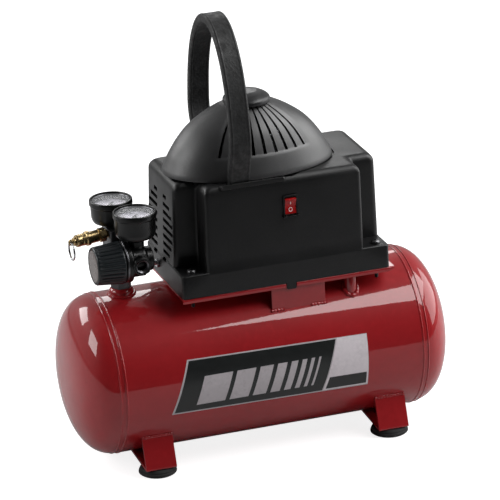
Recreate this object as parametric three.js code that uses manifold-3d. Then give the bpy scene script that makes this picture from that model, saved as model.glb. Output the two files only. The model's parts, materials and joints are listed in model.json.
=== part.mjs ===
// Two-gallon portable air compressor: a horizontal tank on four rubber feet, a plate welded on top
// of it, a motor and an oil-free pump under a moulded shroud, and a regulator with two gauges.
// Units are millimetres, +Z is up. The origin is on the floor under the middle of the tank,
// +X runs along the tank away from the gauges and -Y is the side with the power switch.

import * as THREE from 'three';
import { mergeVertices } from 'three/addons/utils/BufferGeometryUtils.js';
import Module from 'manifold-3d';

const wasm = await Module();
wasm.setup();

// ---------------------------------------------------------------- driving dimensions
const GAP = 0.3;

const TANK = { radius: 82.5, wall: 2.5, weld: 0.7, axisZ: 91, seamX: 158, headDepth: 41.5, sides: 32 };

const FOOT = { x: 124.6, y: 62.2, radius: 19.6, height: 8 };
const BRACKET = { width: 32, sheet: 3, outerY: 78, innerY: 22, contactY: 66, contactZ: 43 };

const PLATE = { x0: -87.4, x1: 137.5, halfY: 59.7, top: 178.5, sheet: 2.2, lip: 5 };
const LEG = { x0: 6, x1: 63, y: 57, sheet: 2.4 };
const INLET = { x: 93, y: -48.5, radius: 6, bore: 3.5 };

const SHROUD = {
  wall: 2.4, bottom: 178.8, ledge: 203, shoulder: 283, top: 292,
  base: { x0: -87.4, x1: 132.4, y: 59.7 },
  foot: { x0: -86.4, x1: 131.8, y: 59.2, notchX0: -61, notchX1: 105, notchY: 32 },
  head: { x0: -83, x1: 130.8, y: 58.4, notchX0: -59.5, notchX1: 105, notchY: 31.5 },
  crown: { x0: -81, x1: 125.5, y: 58.3, notchX0: -59.5, notchX1: 104, notchY: 30.5 },
};
const LOUVRE = { y: 15, z: 235, rows: 9, pitch: 8.3, height: 3.4, halfRib: 9.5, reachY: 41, reachZ: 38 };

const DOME = { x: 5, halfX: 88.5, halfY: 57, wall: 2.8, sides: 28 };
const DOME_SLOT = { count: 9, step: 7.6, width: 2.2, inner: 27, outer: 74 };
const CAP = { x: 7.2, radius: 24, bottom: 357.5, top: 368.5 };

const HANDLE = { x: -22, width: 23, thick: 9.8, legY: 50, bottom: 264, archZ: 335, archY: 66, archTop: 447.2 };

const SWITCH = { x: 29.3, z: 261, width: 15, height: 22, depth: 20, faceY: -58.7 };
const ROCKER = { width: 11.6, half: 8.2, rest: 7 };

const MOTOR = { y: 4, z: 238, radius: 38, x0: -45, x1: 18, shaft: 6 };
const PUMP = { x: 52, throw: 6, rod: 36, bore: 19.4, deck: 262, top: 303 };

const MANIFOLD = { x: -134, y: 0, bungRadius: 13, top: 240 };
const REGULATOR = { y: -24, z: 215.5, x0: -108, neck: -131, collar: -139, portX: -123.5 };
const KNOB = { base: -139.5, end: -168.5, baseRadius: 21.8, endRadius: 19.5 };
const GAUGE = { radius: 22.3, top: 267.5, rear: [-133.5, 22], front: [-122.7, -24], stemRear: 240.3, stemFront: 236.3 };

const VALVE = {
  start: [-142.9, 9, 236], yaw: 8, pitch: 2.8, eye: 39.5,
  neck: 4.5, hex: 7, barrel: 6.2, collar: 7.6, stem: 2, bore: 2.5,
};
const RING = { radius: 9.2, wire: 0.8 };

const DRAIN = { x: 60, angle: 40 };

// ---------------------------------------------------------------- materials
const finish = (color, roughness, metalness) =>
  new THREE.MeshStandardMaterial({ color, roughness, metalness });

const MATERIALS = {
  redPaint: finish(0x8e1f22, 0.3, 0.1),
  blackPlastic: finish(0x1c1c1d, 0.55, 0),
  softGrip: finish(0x242526, 0.75, 0),
  gaugePlastic: finish(0x17181a, 0.35, 0),
  knobPlastic: finish(0x202428, 0.5, 0),
  knobBadge: finish(0xb9aca8, 0.45, 0),
  rubber: finish(0x1a1819, 0.85, 0),
  brass: finish(0xb08d4a, 0.35, 0.9),
  steel: finish(0x9a9a9c, 0.35, 0.9),
  blackSteel: finish(0x2a2a2b, 0.45, 0.7),
  zinc: finish(0x8d8a8a, 0.5, 0.7),
  aluminium: finish(0xb4b6b8, 0.45, 0.8),
  castIron: finish(0x4a4b4d, 0.7, 0.5),
  dial: finish(0xe4e2ea, 0.6, 0),
  lens: finish(0xf2f4f8, 0.05, 0),
  needle: finish(0x101010, 0.5, 0),
  redLens: finish(0xb3121a, 0.25, 0),
  fanPlastic: finish(0x303236, 0.6, 0),
};

// ---------------------------------------------------------------- solids from three.js geometry
function signedVolume(positions, triangles) {
  const a = new THREE.Vector3();
  const b = new THREE.Vector3();
  const c = new THREE.Vector3();
  let volume = 0;
  for (let i = 0; i < triangles.length; i += 3) {
    a.fromArray(positions, triangles[i] * 3);
    b.fromArray(positions, triangles[i + 1] * 3);
    c.fromArray(positions, triangles[i + 2] * 3);
    volume += a.dot(b.cross(c)) / 6;
  }
  return volume;
}

function solidFrom(geometry) {
  geometry.deleteAttribute('normal');
  geometry.deleteAttribute('uv');
  const merged = mergeVertices(geometry, 1e-4);
  const positions = new Float32Array(merged.attributes.position.array);
  const triangles = [];
  for (let i = 0; i < merged.index.count; i += 3) {
    const [a, b, c] = [0, 1, 2].map((k) => merged.index.getX(i + k));
    if (a !== b && b !== c && c !== a) triangles.push(a, b, c);
  }
  if (signedVolume(positions, triangles) < 0) triangles.reverse();
  return new wasm.Manifold(
    new wasm.Mesh({ numProp: 3, vertProperties: positions, triVerts: new Uint32Array(triangles) }));
}

function join(first, ...others) {
  return others.reduce((sum, solid) => sum.add(solid), first);
}

function cut(first, ...others) {
  return others.reduce((rest, solid) => rest.subtract(solid), first);
}

function box(x0, x1, y0, y1, z0, z1) {
  const geometry = new THREE.BoxGeometry(x1 - x0, y1 - y0, z1 - z0);
  geometry.translate((x0 + x1) / 2, (y0 + y1) / 2, (z0 + z1) / 2);
  return solidFrom(geometry);
}

// Places a shape made along +Y from the origin so that it starts at a point and runs along a direction.
function aim(geometry, start, direction) {
  const along = new THREE.Vector3(...direction).normalize();
  const turn = new THREE.Quaternion().setFromUnitVectors(new THREE.Vector3(0, 1, 0), along);
  geometry.applyQuaternion(turn);
  geometry.translate(...start);
  return geometry;
}

function rod(start, direction, length, radius, sides = 16, endRadius = radius) {
  const geometry = new THREE.CylinderGeometry(endRadius, radius, length, sides);
  geometry.translate(0, length / 2, 0);
  return solidFrom(aim(geometry, start, direction));
}

// A turned piece: profile is a list of [radius, distance along the axis].
function turned(profile, start, direction, sides = 24) {
  const points = profile.map(([r, h]) => new THREE.Vector2(r, h));
  return solidFrom(aim(new THREE.LatheGeometry(points, sides), start, direction));
}

function outline(points) {
  return new THREE.Shape(points.map(([x, y]) => new THREE.Vector2(x, y)));
}

// A prism along one axis: 'x' takes [y, z] points, 'y' takes [x, z] points and 'z' takes [x, y] points.
function prism(points, axis, from, to) {
  const geometry = new THREE.ExtrudeGeometry(outline(points), { depth: to - from, bevelEnabled: false });
  const X = new THREE.Vector3(1, 0, 0);
  const Y = new THREE.Vector3(0, 1, 0);
  const Z = new THREE.Vector3(0, 0, 1);
  const basis = new THREE.Matrix4();
  if (axis === 'x') basis.makeBasis(Y, Z, X).setPosition(from, 0, 0);
  if (axis === 'y') basis.makeBasis(X, Z, Y.negate()).setPosition(0, to, 0);
  if (axis === 'z') basis.makeBasis(X, Y, Z).setPosition(0, 0, from);
  return solidFrom(geometry.applyMatrix4(basis));
}

// A closed skin over horizontal rings that all have the same number of [x, y] points.
function loft(rings) {
  const count = rings[0].points.length;
  const vertices = rings.flatMap(({ z, points }) => points.flatMap(([x, y]) => [x, y, z]));
  const index = [];
  for (let level = 0; level < rings.length - 1; level++) {
    for (let i = 0; i < count; i++) {
      const a = level * count + i;
      const b = level * count + ((i + 1) % count);
      index.push(a, b, b + count, a, b + count, a + count);
    }
  }
  const last = (rings.length - 1) * count;
  const flat = rings[0].points.map(([x, y]) => new THREE.Vector2(x, y));
  for (const [a, b, c] of THREE.ShapeUtils.triangulateShape(flat, [])) {
    index.push(a, c, b);
    index.push(last + a, last + b, last + c);
  }
  const geometry = new THREE.BufferGeometry();
  geometry.setAttribute('position', new THREE.Float32BufferAttribute(vertices, 3));
  geometry.setIndex(index);
  return solidFrom(geometry);
}

function ellipse(x, y, halfX, halfY, count) {
  return Array.from({ length: count }, (_, i) => {
    const angle = (i / count) * 2 * Math.PI;
    return [x + halfX * Math.cos(angle), y + halfY * Math.sin(angle)];
  });
}

function sweep(section, points, steps) {
  const path = new THREE.CatmullRomCurve3(points.map((p) => new THREE.Vector3(...p)), false, 'centripetal');
  return solidFrom(new THREE.ExtrudeGeometry(section, { steps, extrudePath: path, bevelEnabled: false }));
}

function disc(radius, sides) {
  return outline(ellipse(0, 0, radius, radius, sides));
}

function roundedRectangle(width, height, corner) {
  const [w, h] = [width / 2, height / 2];
  return outline([
    [w - corner, -h], [w, -h + corner], [w, h - corner], [w - corner, h],
    [corner - w, h], [-w, h - corner], [-w, corner - h], [corner - w, -h],
  ]);
}

const compressor = new THREE.Group();

function piece(name, solid, material) {
  const { vertProperties, triVerts } = solid.getMesh();
  const geometry = new THREE.BufferGeometry();
  geometry.setAttribute('position', new THREE.Float32BufferAttribute(vertProperties, 3));
  geometry.setIndex(Array.from(triVerts));
  geometry.computeVertexNormals();
  const mesh = new THREE.Mesh(geometry, material);
  mesh.name = name;
  compressor.add(mesh);
}

// ---------------------------------------------------------------- tank
const tankSolid = (extra) =>
  rod([-TANK.seamX - 60, 0, TANK.axisZ], [1, 0, 0], 2 * TANK.seamX + 120, TANK.radius + extra, TANK.sides);
const tankClearance = tankSolid(GAP);

function drainDirection() {
  const angle = THREE.MathUtils.degToRad(DRAIN.angle);
  return [0, Math.sin(angle), -Math.cos(angle)];
}

function drainPoint(distance) {
  const [, y, z] = drainDirection();
  return [DRAIN.x, y * distance, TANK.axisZ + z * distance];
}

function makeTank() {
  const { radius, wall, weld, axisZ, seamX, headDepth, sides } = TANK;
  const inner = radius - wall;
  const length = 2 * seamX;
  const bead = [[radius, 0], [radius + weld, 1.2], [radius + weld, 3], [radius, 4.2]];
  const farBead = bead.map(([r, h]) => [r, length - h]).reverse();
  const tube = turned(
    [[inner, 0], ...bead, ...farBead, [inner, length], [inner, 0]], [-seamX, 0, axisZ], [1, 0, 0], sides);
  const shell = cut(tube,
    rod([INLET.x, INLET.y, axisZ + 20], [0, 0, 1], 80, INLET.bore, 12),
    rod([MANIFOLD.x, MANIFOLD.y, axisZ + 20], [0, 0, 1], 80, 5, 12),
    rod(drainPoint(radius - 12), drainDirection(), 20, 3.2, 12));
  piece('tank_shell', shell, MATERIALS.redPaint);

  const bulge = (r, depth, steps) => Array.from({ length: steps + 1 }, (_, i) => {
    const angle = (i / steps) * Math.PI / 2;
    return [r * Math.cos(angle) ** 0.82, depth * Math.sin(angle) ** 0.86];
  });
  const outside = bulge(radius, headDepth, 6);
  const inside = bulge(inner, headDepth - wall, 4).reverse();
  const profile = [...outside, ...inside, outside[0]];
  for (const [name, side] of [['tank_head_left', -1], ['tank_head_right', 1]]) {
    const start = [side * (seamX + GAP), 0, axisZ];
    piece(name, turned(profile, start, [side, 0, 0], sides), MATERIALS.redPaint);
  }
}

function makeBungs() {
  const { x, y, radius, bore } = INLET;
  const inlet = cut(
    rod([x, y, 130], [0, 0, 1], 42, radius, 16), rod([x, y, 120], [0, 0, 1], 60, bore, 12), tankClearance);
  piece('inlet_bung', inlet, MATERIALS.redPaint);
  const port = cut(
    rod([MANIFOLD.x, MANIFOLD.y, 160], [0, 0, 1], 20.5, MANIFOLD.bungRadius, 20),
    rod([MANIFOLD.x, MANIFOLD.y, 150], [0, 0, 1], 40, 5, 12), tankClearance);
  piece('manifold_bung', port, MATERIALS.redPaint);
}

function makeDrain() {
  const along = drainDirection();
  const surface = TANK.radius + GAP;
  const body = cut(
    join(rod(drainPoint(surface - 2), along, 6, 7, 16), rod(drainPoint(surface + 3), along, 8, 5, 6)),
    tankClearance, rod(drainPoint(surface + 4), along, 10, 2.7, 12));
  piece('drain_valve_body', body, MATERIALS.brass);
  const tap = join(
    rod(drainPoint(surface + 6), along, 8, 2.2, 12), rod(drainPoint(surface + 12), along, 6, 6.5, 12));
  piece('drain_tap', tap, MATERIALS.brass);
}

// ---------------------------------------------------------------- feet
function makeFeet() {
  const { width, sheet, outerY, innerY, contactY, contactZ } = BRACKET;
  const bottom = FOOT.height + GAP;
  const corners = { left: -1, right: 1 };
  const sides = { front: -1, rear: 1 };
  for (const [xName, sx] of Object.entries(corners)) {
    for (const [yName, sy] of Object.entries(sides)) {
      const x = sx * FOOT.x;
      // A bent strap: a leaning outer wall under the tank's flank and a sole that rises to the tank's belly.
      const strap = prism(
        [[sy * outerY, bottom], [sy * contactY, contactZ], [sy * (contactY - sheet), contactZ],
          [sy * (outerY - sheet - 1), bottom + sheet], [sy * innerY, bottom + 2 * sheet], [sy * innerY, bottom + sheet]],
        'x', x - width / 2, x + width / 2);
      piece(`foot_bracket_${yName}_${xName}`, cut(strap, tankClearance), MATERIALS.redPaint);
      const pad = turned(
        [[0, 0.9], [6, 0.9], [6, 0], [FOOT.radius - 0.8, 0], [FOOT.radius, 1.5], [FOOT.radius - 1.6, FOOT.height],
          [0, FOOT.height]],
        [x, sy * FOOT.y, 0], [0, 0, 1], 18);
      piece(`rubber_foot_${yName}_${xName}`, pad, MATERIALS.rubber);
    }
  }
}

// ---------------------------------------------------------------- mounting plate
const TAB = { x0: 22, x1: 32, z0: 172 };
const FRONT_SCREWS = { left: -74.5, right: 121, y: -50 };
const REAR_SCREWS = { left: -60, right: 104, z: 190, tabY: 54 };

function makePlate() {
  const { x0, x1, halfY, top, sheet, lip } = PLATE;
  const lipBottom = top - lip;
  const side = (sy) => prism(
    [[x0, lipBottom], [x1 - 8, lipBottom], [x1, top - sheet], [x1, top], [x0, top]],
    'y', Math.min(sy * halfY, sy * (halfY - sheet)), Math.max(sy * halfY, sy * (halfY - sheet)));
  const rearTab = (x) => box(x - 9, x + 9, REAR_SCREWS.tabY - sheet, REAR_SCREWS.tabY, top - 1, 198);
  const sheetMetal = join(
    box(x0, x1, -halfY, halfY, top - sheet, top), side(-1), side(1),
    rearTab(REAR_SCREWS.left), rearTab(REAR_SCREWS.right));
  const plate = cut(sheetMetal,
    box(TAB.x0 - 0.6, TAB.x1 + 0.6, -halfY - 1, -halfY + 3, lipBottom - 1, top + 1),
    rod([INLET.x, INLET.y, top - 10], [0, 0, 1], 20, 8.5, 16),
    ...[FRONT_SCREWS.left, FRONT_SCREWS.right].map((x) =>
      rod([x, FRONT_SCREWS.y, top - 10], [0, 0, 1], 20, 2.6, 10)),
    ...[REAR_SCREWS.left, REAR_SCREWS.right].map((x) =>
      rod([x, 48, REAR_SCREWS.z], [0, 1, 0], 9, 2.6, 10)));
  piece('mount_plate', plate, MATERIALS.redPaint);
  for (const [name, sy] of [['saddle_leg_front', -1], ['saddle_leg_rear', 1]]) {
    const near = sy * LEG.y;
    const far = sy * (LEG.y - LEG.sheet);
    const leg = box(LEG.x0, LEG.x1, Math.min(near, far), Math.max(near, far), 130, top - sheet - GAP);
    piece(name, cut(leg, tankClearance), MATERIALS.redPaint);
  }
}

// ---------------------------------------------------------------- shroud
function shroudPlan({ x0, x1, y, notchX0, notchX1, notchY }, inset) {
  return [
    [notchX0 + inset, inset - y], [notchX1 - inset, inset - y], [notchX1 - inset, inset - notchY],
    [x1 - inset, inset - notchY], [x1 - inset, y - inset], [x0 + inset, y - inset],
    [x0 + inset, inset - notchY], [notchX0 + inset, inset - notchY],
  ];
}

function louvres(wallX) {
  const slots = [];
  for (let row = 0; row < LOUVRE.rows; row++) {
    const z = LOUVRE.z + (row - (LOUVRE.rows - 1) / 2) * LOUVRE.pitch;
    const reach = LOUVRE.reachY * Math.sqrt(1 - ((z - LOUVRE.z) / LOUVRE.reachZ) ** 2);
    for (const side of [-1, 1]) {
      const y0 = LOUVRE.y + side * LOUVRE.halfRib;
      const y1 = LOUVRE.y + side * reach;
      slots.push(box(wallX - 6, wallX + 6, Math.min(y0, y1), Math.max(y0, y1),
        z - LOUVRE.height / 2, z + LOUVRE.height / 2));
    }
  }
  return slots;
}

// The handle's middle line: upright in the shroud, leaning out past the dome, then half an ellipse over it.
function handleRoute() {
  const { x, legY, bottom, archZ, archY, archTop } = HANDLE;
  const leg = [[x, -legY, bottom], [x, -legY, SHROUD.top - 4], [x, -legY - 7.5, SHROUD.top + 19]];
  const arch = Array.from({ length: 9 }, (_, i) => {
    const angle = (i / 8) * Math.PI;
    return [x, -archY * Math.cos(angle), archZ + (archTop - archZ) * Math.sin(angle)];
  });
  return [...leg, ...arch, ...leg.reverse().map(([px, py, pz]) => [px, -py, pz])];
}

function makeHandle() {
  const section = roundedRectangle(HANDLE.width, HANDLE.thick, 2.5);
  piece('handle', sweep(section, handleRoute(), 34), MATERIALS.softGrip);
}

function makeShroud() {
  const { wall, bottom, ledge, shoulder, top, base, foot, head, crown } = SHROUD;
  const skirt = box(base.x0, base.x1, -base.y, base.y, bottom, ledge);
  const body = loft([
    { z: ledge - 1, points: shroudPlan(foot, 0) }, { z: shoulder, points: shroudPlan(head, 0) },
    { z: top, points: shroudPlan(crown, 0) }]);
  const tab = box(TAB.x0, TAB.x1, -base.y, -base.y + wall, TAB.z0, bottom + 1);
  const skirtHollow = box(
    base.x0 + wall, base.x1 - wall, wall - base.y, base.y - wall, bottom - 1, ledge - wall);
  const bodyHollow = loft([
    { z: ledge - wall - 1, points: shroudPlan(foot, wall) }, { z: shoulder, points: shroudPlan(head, wall) },
    { z: top - wall, points: shroudPlan(crown, wall) }]);
  const domeOpening = loft([
    { z: top - 10, points: ellipse(DOME.x, 0, DOME.halfX - 7, DOME.halfY - 5, 32) },
    { z: top + 10, points: ellipse(DOME.x, 0, DOME.halfX - 7, DOME.halfY - 5, 32) }]);
  const handleSlots = [-1, 1].map((sy) => {
    const [near, far] = [sy * 44.2, sy * 56.2];
    return box(HANDLE.x - 12.6, HANDLE.x + 12.6, Math.min(near, far), Math.max(near, far), top - 6, top + 6);
  });
  const openings = [
    domeOpening, ...handleSlots, ...louvres(foot.x0 + 2), ...louvres(foot.x1 - 2),
    box(SWITCH.x - SWITCH.width / 2 + 0.7, SWITCH.x + SWITCH.width / 2 - 0.7, -70, -50,
      SWITCH.z - SWITCH.height / 2 + 0.7, SWITCH.z + SWITCH.height / 2 - 0.7),
    rod([GLAND.x, 50, GLAND.z], [0, 1, 0], 20, GLAND.hole, 16),
    rod([TUBE_HOLE.x - 10, TUBE_HOLE.y, TUBE_HOLE.z], [1, 0, 0], 20, 4.5, 12),
    ...[FRONT_SCREWS.left, FRONT_SCREWS.right].map((x) =>
      rod([x, FRONT_SCREWS.y, ledge - 8], [0, 0, 1], 16, 2.6, 10)),
    ...[REAR_SCREWS.left, REAR_SCREWS.right].map((x) =>
      rod([x, 50, REAR_SCREWS.z], [0, 1, 0], 20, 2.6, 10)),
  ];
  piece('shroud', cut(join(skirt, body, tab), skirtHollow, bodyHollow, ...openings), MATERIALS.blackPlastic);
}

function makeScrews() {
  const front = [[0, 0], [2, 1.5], [2, 38], [4.2, 38], [4.2, 39.5], [3.4, 42], [0, 42]];
  for (const name of ['left', 'right']) {
    const start = [FRONT_SCREWS[name], FRONT_SCREWS.y, SHROUD.ledge + GAP - 38];
    piece(`shroud_screw_front_${name}`, turned(front, start, [0, 0, 1], 12), MATERIALS.blackSteel);
  }
  const rear = [[0, 0], [2, 1.5], [2, 12], [4.2, 12], [3.4, 14.5], [0, 14.5]];
  for (const name of ['left', 'right']) {
    const start = [REAR_SCREWS[name], SHROUD.base.y + GAP - 12, REAR_SCREWS.z];
    piece(`shroud_screw_rear_${name}`, turned(rear, start, [0, 1, 0], 12), MATERIALS.blackSteel);
  }
}

// Profile of the dome's outside as [fraction of its half length, height], from the rim to under the cap.
const DOME_PROFILE = [
  [1, 292.4], [1, 296], [0.955, 303], [0.9, 312], [0.808, 324], [0.685, 336], [0.515, 347], [0.37, 354.2],
  [0.28, 357.2],
];

function domeSkin(inset) {
  const rings = DOME_PROFILE.map(([scale, z], i) => ({
    z: i === 0 ? z - (inset > 0 ? 1 : 0) : z - inset,
    points: ellipse(DOME.x, 0, DOME.halfX * scale - inset, DOME.halfY * scale - inset, DOME.sides),
  }));
  return loft(rings);
}

// The room that each handle leg needs where it passes the rim of the dome.
function legClearance(side) {
  const points = [[44, 290], [57.5, 290], [63, 305], [68, 325], [54, 325], [47, 305]];
  const mirrored = points.map(([y, z]) => [side * y, z]);
  return prism(mirrored, 'x', HANDLE.x - HANDLE.width / 2 - 1, HANDLE.x + HANDLE.width / 2 + 1);
}

function makeDome() {
  const slots = [];
  for (const side of [-1, 1]) {
    for (let i = 0; i < DOME_SLOT.count; i++) {
      const offset = (i - (DOME_SLOT.count - 1) / 2) * DOME_SLOT.step;
      const angle = THREE.MathUtils.degToRad(90 + offset);
      const [cx, cy] = [Math.cos(angle), side * Math.sin(angle) * (DOME.halfY / DOME.halfX)];
      const start = new THREE.Vector2(DOME.x + cx * DOME_SLOT.inner, cy * DOME_SLOT.inner);
      const end = new THREE.Vector2(DOME.x + cx * DOME_SLOT.outer, cy * DOME_SLOT.outer);
      const across = end.clone().sub(start).normalize().rotateAround(new THREE.Vector2(), Math.PI / 2);
      across.multiplyScalar(DOME_SLOT.width / 2);
      const points = [start.clone().add(across), start.clone().sub(across),
        end.clone().sub(across), end.clone().add(across)];
      slots.push(prism(points.map((p) => [p.x, p.y]), 'z', 300, 380));
    }
  }
  const cover = cut(domeSkin(0), domeSkin(DOME.wall), legClearance(-1), legClearance(1), ...slots);
  piece('dome_cover', cover, MATERIALS.blackPlastic);
  const height = CAP.top - CAP.bottom;
  const cap = turned(
    [[0, 0], [CAP.radius, 0], [CAP.radius, 4], [CAP.radius * 0.8, height * 0.68], [CAP.radius * 0.45, height * 0.94],
      [0, height]],
    [CAP.x, 0, CAP.bottom], [0, 0, 1], 28);
  piece('dome_cap', cap, MATERIALS.blackPlastic);
}

// ---------------------------------------------------------------- power switch and cord inlet
const GLAND = { x: 72, z: 191, hole: 7 };

function makeSwitch() {
  const { x, z, width, height, depth, faceY } = SWITCH;
  const [w, h] = [width / 2, height / 2];
  const housing = cut(
    join(box(x - w, x + w, faceY - 1.6, faceY - GAP, z - h, z + h),
      box(x - w + 1, x + w - 1, faceY - 1, faceY + depth, z - h + 1, z + h - 1)),
    box(x - ROCKER.width / 2 - 0.4, x + ROCKER.width / 2 + 0.4, faceY - 5, faceY + 11, z - h + 1.9, z + h - 1.9));
  piece('switch_housing', housing, MATERIALS.gaugePlastic);

  const axisY = faceY + 4;
  const turn = THREE.MathUtils.degToRad(ROCKER.rest);
  const profile = [
    [-6.6, -ROCKER.half], [-4.4, 0], [-6.6, ROCKER.half], [-2, ROCKER.half - 0.4], [4.5, 3], [4.5, -3],
    [-2, 0.4 - ROCKER.half]];
  const turnedProfile = profile.map(([y, v]) => [
    axisY + y * Math.cos(turn) - v * Math.sin(turn), z + y * Math.sin(turn) + v * Math.cos(turn)]);
  piece('switch_rocker', prism(turnedProfile, 'x', x - ROCKER.width / 2, x + ROCKER.width / 2), MATERIALS.redLens);

  const wallY = SHROUD.base.y;
  const gland = turned(
    [[3.8, -8], [6.2, -8], [6.2, GAP], [9.5, GAP], [9.5, 3], [7, 9], [3.8, 9], [3.8, -8]],
    [GLAND.x, wallY, GLAND.z], [0, 1, 0], 20);
  piece('cord_gland', gland, MATERIALS.gaugePlastic);
}

// ---------------------------------------------------------------- manifold, gauges and regulator
function makeManifold() {
  const { x, y, top } = MANIFOLD;
  const column = join(
    rod([x, y, 180.8], [0, 0, 1], 8, 11, 6), rod([x, y, 188], [0, 0, 1], 30, 8.5, 16));
  const block = box(-142.6, -124.4, -1.5, 31, 212, top);
  const clearForRegulator = box(-160, -100, -40, -1.5, 193, 250);
  piece('manifold', cut(join(column, block), clearForRegulator), MATERIALS.zinc);
}

function makeGauge(name, [x, y], stemBottom) {
  const { radius, top } = GAUGE;
  const floor = top - 8;
  const ledge = top - 3.2;
  const profile = [
    [0, stemBottom], [6, stemBottom], [6, top - 24], [17.5, top - 23], [radius - 1, top - 17],
    [radius - 1, top - 6], [radius, top - 5.4], [radius, top], [radius - 2, top],
    [radius - 2, ledge], [radius - 3.4, ledge], [radius - 3.4, floor], [0, floor]];
  piece(`${name}_gauge_case`, turned(profile, [x, y, 0], [0, 0, 1], 22), MATERIALS.gaugePlastic);
  piece(`${name}_gauge_dial`, rod([x, y, floor + GAP], [0, 0, 1], 0.8, radius - 4, 22), MATERIALS.dial);
  piece(`${name}_gauge_lens`, rod([x, y, ledge + GAP], [0, 0, 1], 1.6, radius - 2.6, 22), MATERIALS.lens);
  const zero = THREE.MathUtils.degToRad(225);
  const reach = radius - 7;
  const [cx, cy] = [Math.cos(zero), Math.sin(zero)];
  const needle = join(
    rod([x, y, floor + 1.5], [0, 0, 1], 1.2, 2.4, 12),
    prism([[x + reach * cx, y + reach * cy], [x + cy, y - cx], [x - 5 * cx + 0.8 * cy, y - 5 * cy - 0.8 * cx],
      [x - 5 * cx - 0.8 * cy, y - 5 * cy + 0.8 * cx], [x - cy, y + cx]].reverse(), 'z', floor + 1.7, floor + 2.4));
  piece(`${name}_gauge_needle`, needle, MATERIALS.needle);
}

function makeRegulator() {
  const { y, z, x0, neck, collar, portX } = REGULATOR;
  const [gx, gy] = GAUGE.front;
  const body = cut(
    join(
      rod([x0, y, z], [-1, 0, 0], 8, 12.5, 20), rod([x0 - 6, y, z], [-1, 0, 0], x0 - 6 - neck, 16, 24),
      rod([neck + 0.5, y, z], [-1, 0, 0], neck + 0.5 - collar, 21, 28),
      rod([portX, y, z], [0, -1, 0], 22, 9.6, 16), rod([gx, gy, z + 8], [0, 0, 1], GAUGE.stemFront - GAP - z - 8, 8, 6),
      rod([-126.5, y, z + 2], [0, 1, 0], -1.8 - y, 6.5, 12)),
    rod([collar - 5, y, z], [1, 0, 0], 21, 5, 16), rod([portX, y - 7, z], [0, -1, 0], 20, 6.9, 20));
  piece('regulator_body', body, MATERIALS.gaugePlastic);
  const insert = turned(
    [[5.2, 0], [6.5, 0], [6.5, 15.2], [5.2, 15.2], [5.2, 0]], [portX, y - 7.3, z], [0, -1, 0], 20);
  piece('outlet_insert', insert, MATERIALS.steel);
  piece('regulator_spindle', rod([-126, y, z], [-1, 0, 0], 34.5, 4.2, 12), MATERIALS.blackSteel);

  const length = KNOB.base - KNOB.end;
  const start = [KNOB.base, y, z];
  const knob = cut(
    rod(start, [-1, 0, 0], length, KNOB.baseRadius, 28, KNOB.endRadius),
    turned([[8, -1], [18.6, -1], [17.4, 19], [8, 19], [8, -1]], start, [-1, 0, 0], 24),
    rod([KNOB.base + 1, y, z], [-1, 0, 0], 23.5, 4.7, 12), rod([KNOB.end + 1.6, y, z], [-1, 0, 0], 5, 17, 28));
  piece('regulator_knob', knob, MATERIALS.knobPlastic);
  piece('knob_cap', rod([KNOB.end + 1.3, y, z], [-1, 0, 0], 1.3, 16.6, 28), MATERIALS.knobBadge);
}

// ---------------------------------------------------------------- safety valve
function valveDirection() {
  const yaw = THREE.MathUtils.degToRad(VALVE.yaw);
  const pitch = THREE.MathUtils.degToRad(VALVE.pitch);
  return new THREE.Vector3(-Math.cos(yaw) * Math.cos(pitch), -Math.sin(yaw) * Math.cos(pitch), -Math.sin(pitch));
}

function makeSafetyValve() {
  const along = valveDirection();
  const at = (distance) => new THREE.Vector3(...VALVE.start).addScaledVector(along, distance).toArray();
  const direction = along.toArray();
  const body = cut(
    join(rod(at(0), direction, 5, VALVE.neck, 16), rod(at(2.5), direction, 7, VALVE.hex, 6),
      rod(at(9), direction, 26, VALVE.barrel, 16), rod(at(20), direction, 4, VALVE.collar, 16)),
    rod(at(6), direction, 40, VALVE.bore, 12), box(-142.6, -124, -1.5, 31, 212, 245));
  piece('safety_valve_body', body, MATERIALS.brass);
  const eye = at(VALVE.eye);
  const stem = cut(
    join(rod(at(8), direction, 31, VALVE.stem, 12), rod(at(35.4), direction, 2, 4.2, 12),
      rod([eye[0], eye[1] - 1.3, eye[2]], [0, 1, 0], 2.6, 3.2, 12)),
    rod([eye[0], eye[1] - 5, eye[2]], [0, 1, 0], 10, 1.5, 12));
  piece('safety_valve_stem', stem, MATERIALS.brass);
  const loop = new THREE.TorusGeometry(RING.radius, RING.wire, 5, 20);
  loop.rotateY(Math.PI / 2);
  loop.translate(eye[0], eye[1], eye[2] - RING.radius);
  piece('safety_ring', solidFrom(loop), MATERIALS.steel);
}

// ---------------------------------------------------------------- pressure line into the shroud
const TUBE_HOLE = { x: -87.4, y: 22, z: 190.5 };

function makePressureSwitch() {
  const route = [[-124, 22, 216], [-114, 22, 216], [-104, 22, 208], [-97, 22, 196], [-88, 22, 190.5], [-72, 22, 190.5]];
  piece('sense_tube', sweep(disc(2.6, 6), route, 18), MATERIALS.aluminium);
  const housing = join(
    box(-66, -36, 12, 36, PLATE.top + GAP, 197), rod([-71.6, 22, 190.5], [1, 0, 0], 6, 4.5, 6));
  piece('pressure_switch', housing, MATERIALS.gaugePlastic);
}

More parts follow.
